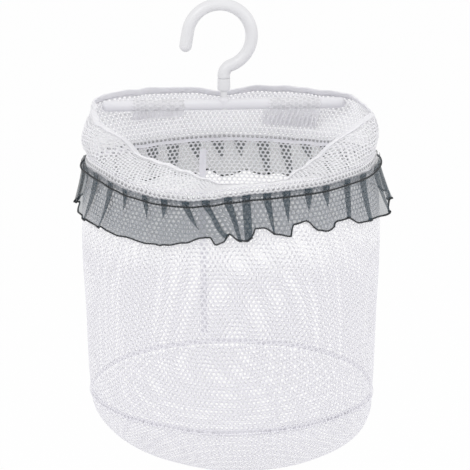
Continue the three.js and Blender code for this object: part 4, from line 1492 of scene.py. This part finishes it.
# A profile whose corners are rounded, all but its two ends
def rounded(profile, radius, steps=4):
    points = []
    for i, corner in enumerate(profile):
        corner = np.array(corner, float)
        if i in (0, len(profile) - 1):
            points.append(corner)
            continue
        before, after = np.array(profile[i - 1], float), np.array(profile[i + 1], float)
        room = min(np.linalg.norm(before - corner), np.linalg.norm(after - corner)) * 0.45
        cut = min(radius, room)
        start, end = corner + unit(before - corner) * cut, corner + unit(after - corner) * cut
        for share in np.linspace(0, 1, steps):
            points.append((1 - share) ** 2 * start + 2 * share * (1 - share) * corner + share ** 2 * end)
    return points


# Profiles of turned pieces as radius and height; the boss and the bore are measured from the bar's middle
sleeveProfile = [(3.3, -82.8), (5.7, -82.8), (6.5, -82.0), (6.5, -70.2), (3.3, -70.2), (3.3, -82.8)]
pinProfile = [(0, -103.0), (4.3, -103.0), (4.3, -99.4), (3.5, -99.4), (3.5, -83.1), (3.0, -83.1),
              (3.0, -60.9), (0, -60.9)]
bossProfile = [(0, 0), (5.9, 0), (5.9, 5.2), (5.0, 6.6), (5.0, 7.3), (4.1, 8.2), (0, 8.2)]
boreProfile = [(0, -6.8), (4.7, -6.8), (4.7, -1.1), (3.9, -1.0), (3.9, 7.6), (4.2, 9.2), (0, 9.2)]


def makeSleeveAndPin():
    centre = (hook["stemX"], 0.0)
    made = lathe("stemSleeve", rounded(sleeveProfile, 0.35), centre, 64, finishes["hookPlastic"])
    smoothByAngle(made, 50)
    stands(made, "hook", "hook_plastic", "stem_sleeve")
    made = lathe("swivelPin", rounded(pinProfile, 0.3), centre, 48, finishes["hookPlastic"])
    smoothByAngle(made, 50)
    stands(made, "hook", "hook_plastic", "swivel_pin")


def carve(body, other, operation):
    modifier = body.modifiers.new("carve", "BOOLEAN")
    modifier.operation = operation
    modifier.solver = "EXACT"
    modifier.object = other
    bpy.context.view_layer.update()
    graph = bpy.context.evaluated_depsgraph_get()
    mesh = bpy.data.meshes.new_from_object(body.evaluated_get(graph), depsgraph=graph)
    body.modifiers.clear()
    body.data = mesh
    bpy.data.objects.remove(other)


def makeBar():
    straight = bar["length"] / 2 - bar["radius"]
    dome = np.linspace(0, np.pi / 2, 10)
    ends = [(straight + bar["radius"] * math.sin(a), bar["radius"] * math.cos(a)) for a in dome[:-1]]
    stations = [(-x, r) for x, r in ends[::-1]] + [(x, r) for x, r in ends]
    stations.insert(len(ends), (0.0, bar["radius"]))
    line = np.array([[bar["x"] + x, 0.0, bar["z"]] for x, _ in stations])
    section = np.array([r for _, r in stations])[:, None, None] * roundSection(1.0, 56)[None]
    side = np.tile([0.0, 1.0, 0.0], (len(line), 1))
    rise = np.tile([0.0, 0.0, 1.0], (len(line), 1))
    made = sweep("roundBar", line, side, rise, section, False, finishes["barPlastic"])
    centre = (bar["x"], 0.0)
    bossShape = rounded([(r, bar["z"] + up) for r, up in bossProfile], 0.6)
    boss = lathe("boss", bossShape, centre, 56, finishes["barPlastic"])
    carve(made, boss, "UNION")
    boreShape = [(r, bar["z"] + up) for r, up in boreProfile]
    bore = lathe("bore", boreShape, centre, 56, finishes["barPlastic"])
    carve(made, bore, "DIFFERENCE")
    smoothByAngle(made, 38)
    stands(made, "hanger", "bar_plastic", "hanger_bar")


makeHook()
makeSleeveAndPin()
makeBar()
print("hanger is made")


# The tile and the stitch shape have served. The cut size of each sheet is worked out but not kept.
for helper in (netTile, stitchShape):
    bpy.data.objects.remove(helper)
declareNet(wholeRound, bag["wallHeight"] + wall["tuck"])
declareNet(2 * bottomReach, 2 * bottomReach, shape=math.pi / 4)
declareNet(wholeRound, collarLength)
declareNet(loops["width"], leftLength)
declareNet(loops["width"], rightLength)


# Stage. Places and sizes here are in metres.
light = {"fill": 0.94, "floorGlow": 0.94, "keyPower": 10.0, "sidePower": 4.5, "aim": (0.0, -0.07, -0.22)}
floorLook = {"z": -0.80, "reach": 14.0, "dark": (0.86, 0.86, 0.865, 1), "light": (0.9, 0.9, 0.905, 1)}


def makeStage():
    mesh = bpy.data.meshes.new("paleFloor")
    reach, z = floorLook["reach"], floorLook["z"]
    corners = [(-reach, -reach, z), (reach, -reach, z), (reach, reach, z), (-reach, reach, z)]
    mesh.from_pydata(corners, [], [(0, 1, 2, 3)])
    floor = newObject("paleFloor", mesh)

    def paintFloor(board, place):
        tint = board.blend(board.noise(place, 3.0), floorLook["dark"], floorLook["light"])
        matt = board.add("ShaderNodeBsdfDiffuse", None, {"Color": tint})
        bright = board.add("ShaderNodeEmission", None, {"Color": (1, 1, 1, 1), "Strength": 1.0})
        seen = board.add("ShaderNodeLightPath", output="Is Camera Ray")
        return board.add("ShaderNodeMixShader", None, {0: seen * light["floorGlow"], 1: matt, 2: bright})

    floor.data.materials.append(makeMaterial("paleFloor", paintFloor))
    world = bpy.data.worlds.new("studio")
    bpy.context.scene.world = world
    world.use_nodes = True
    board = Board(world.node_tree)
    path = board.add("ShaderNodeLightPath", output="Is Camera Ray")
    mirrored = board.maths("MAXIMUM", path.out("Is Glossy Ray"), path.out("Is Transmission Ray"))
    plain = board.maths("MAXIMUM", path, mirrored)
    strength = light["fill"] + plain * (1 - light["fill"])
    sky = board.add("ShaderNodeBackground", None, {"Color": (1, 1, 1, 1), "Strength": strength})
    board.add("ShaderNodeOutputWorld", None, {"Surface": sky})


def addLamp(name, place, power, size):
    data = bpy.data.lights.new(name, "AREA")
    data.energy = power
    data.shape = "DISK"
    data.size = size
    lamp = bpy.data.objects.new(name, data)
    lamp.location = Vector(place)
    lamp.rotation_euler = (Vector(light["aim"]) - Vector(place)).to_track_quat("-Z", "Y").to_euler()
    bpy.context.scene.collection.objects.link(lamp)


makeStage()
addLamp("keyLamp", (-1.1, -1.6, 1.0), light["keyPower"], 0.9)
addLamp("sideLamp", (1.5, -0.9, 0.5), light["sidePower"], 1.1)
bpy.context.scene.view_settings.view_transform = "Standard"
print("stage is lit")
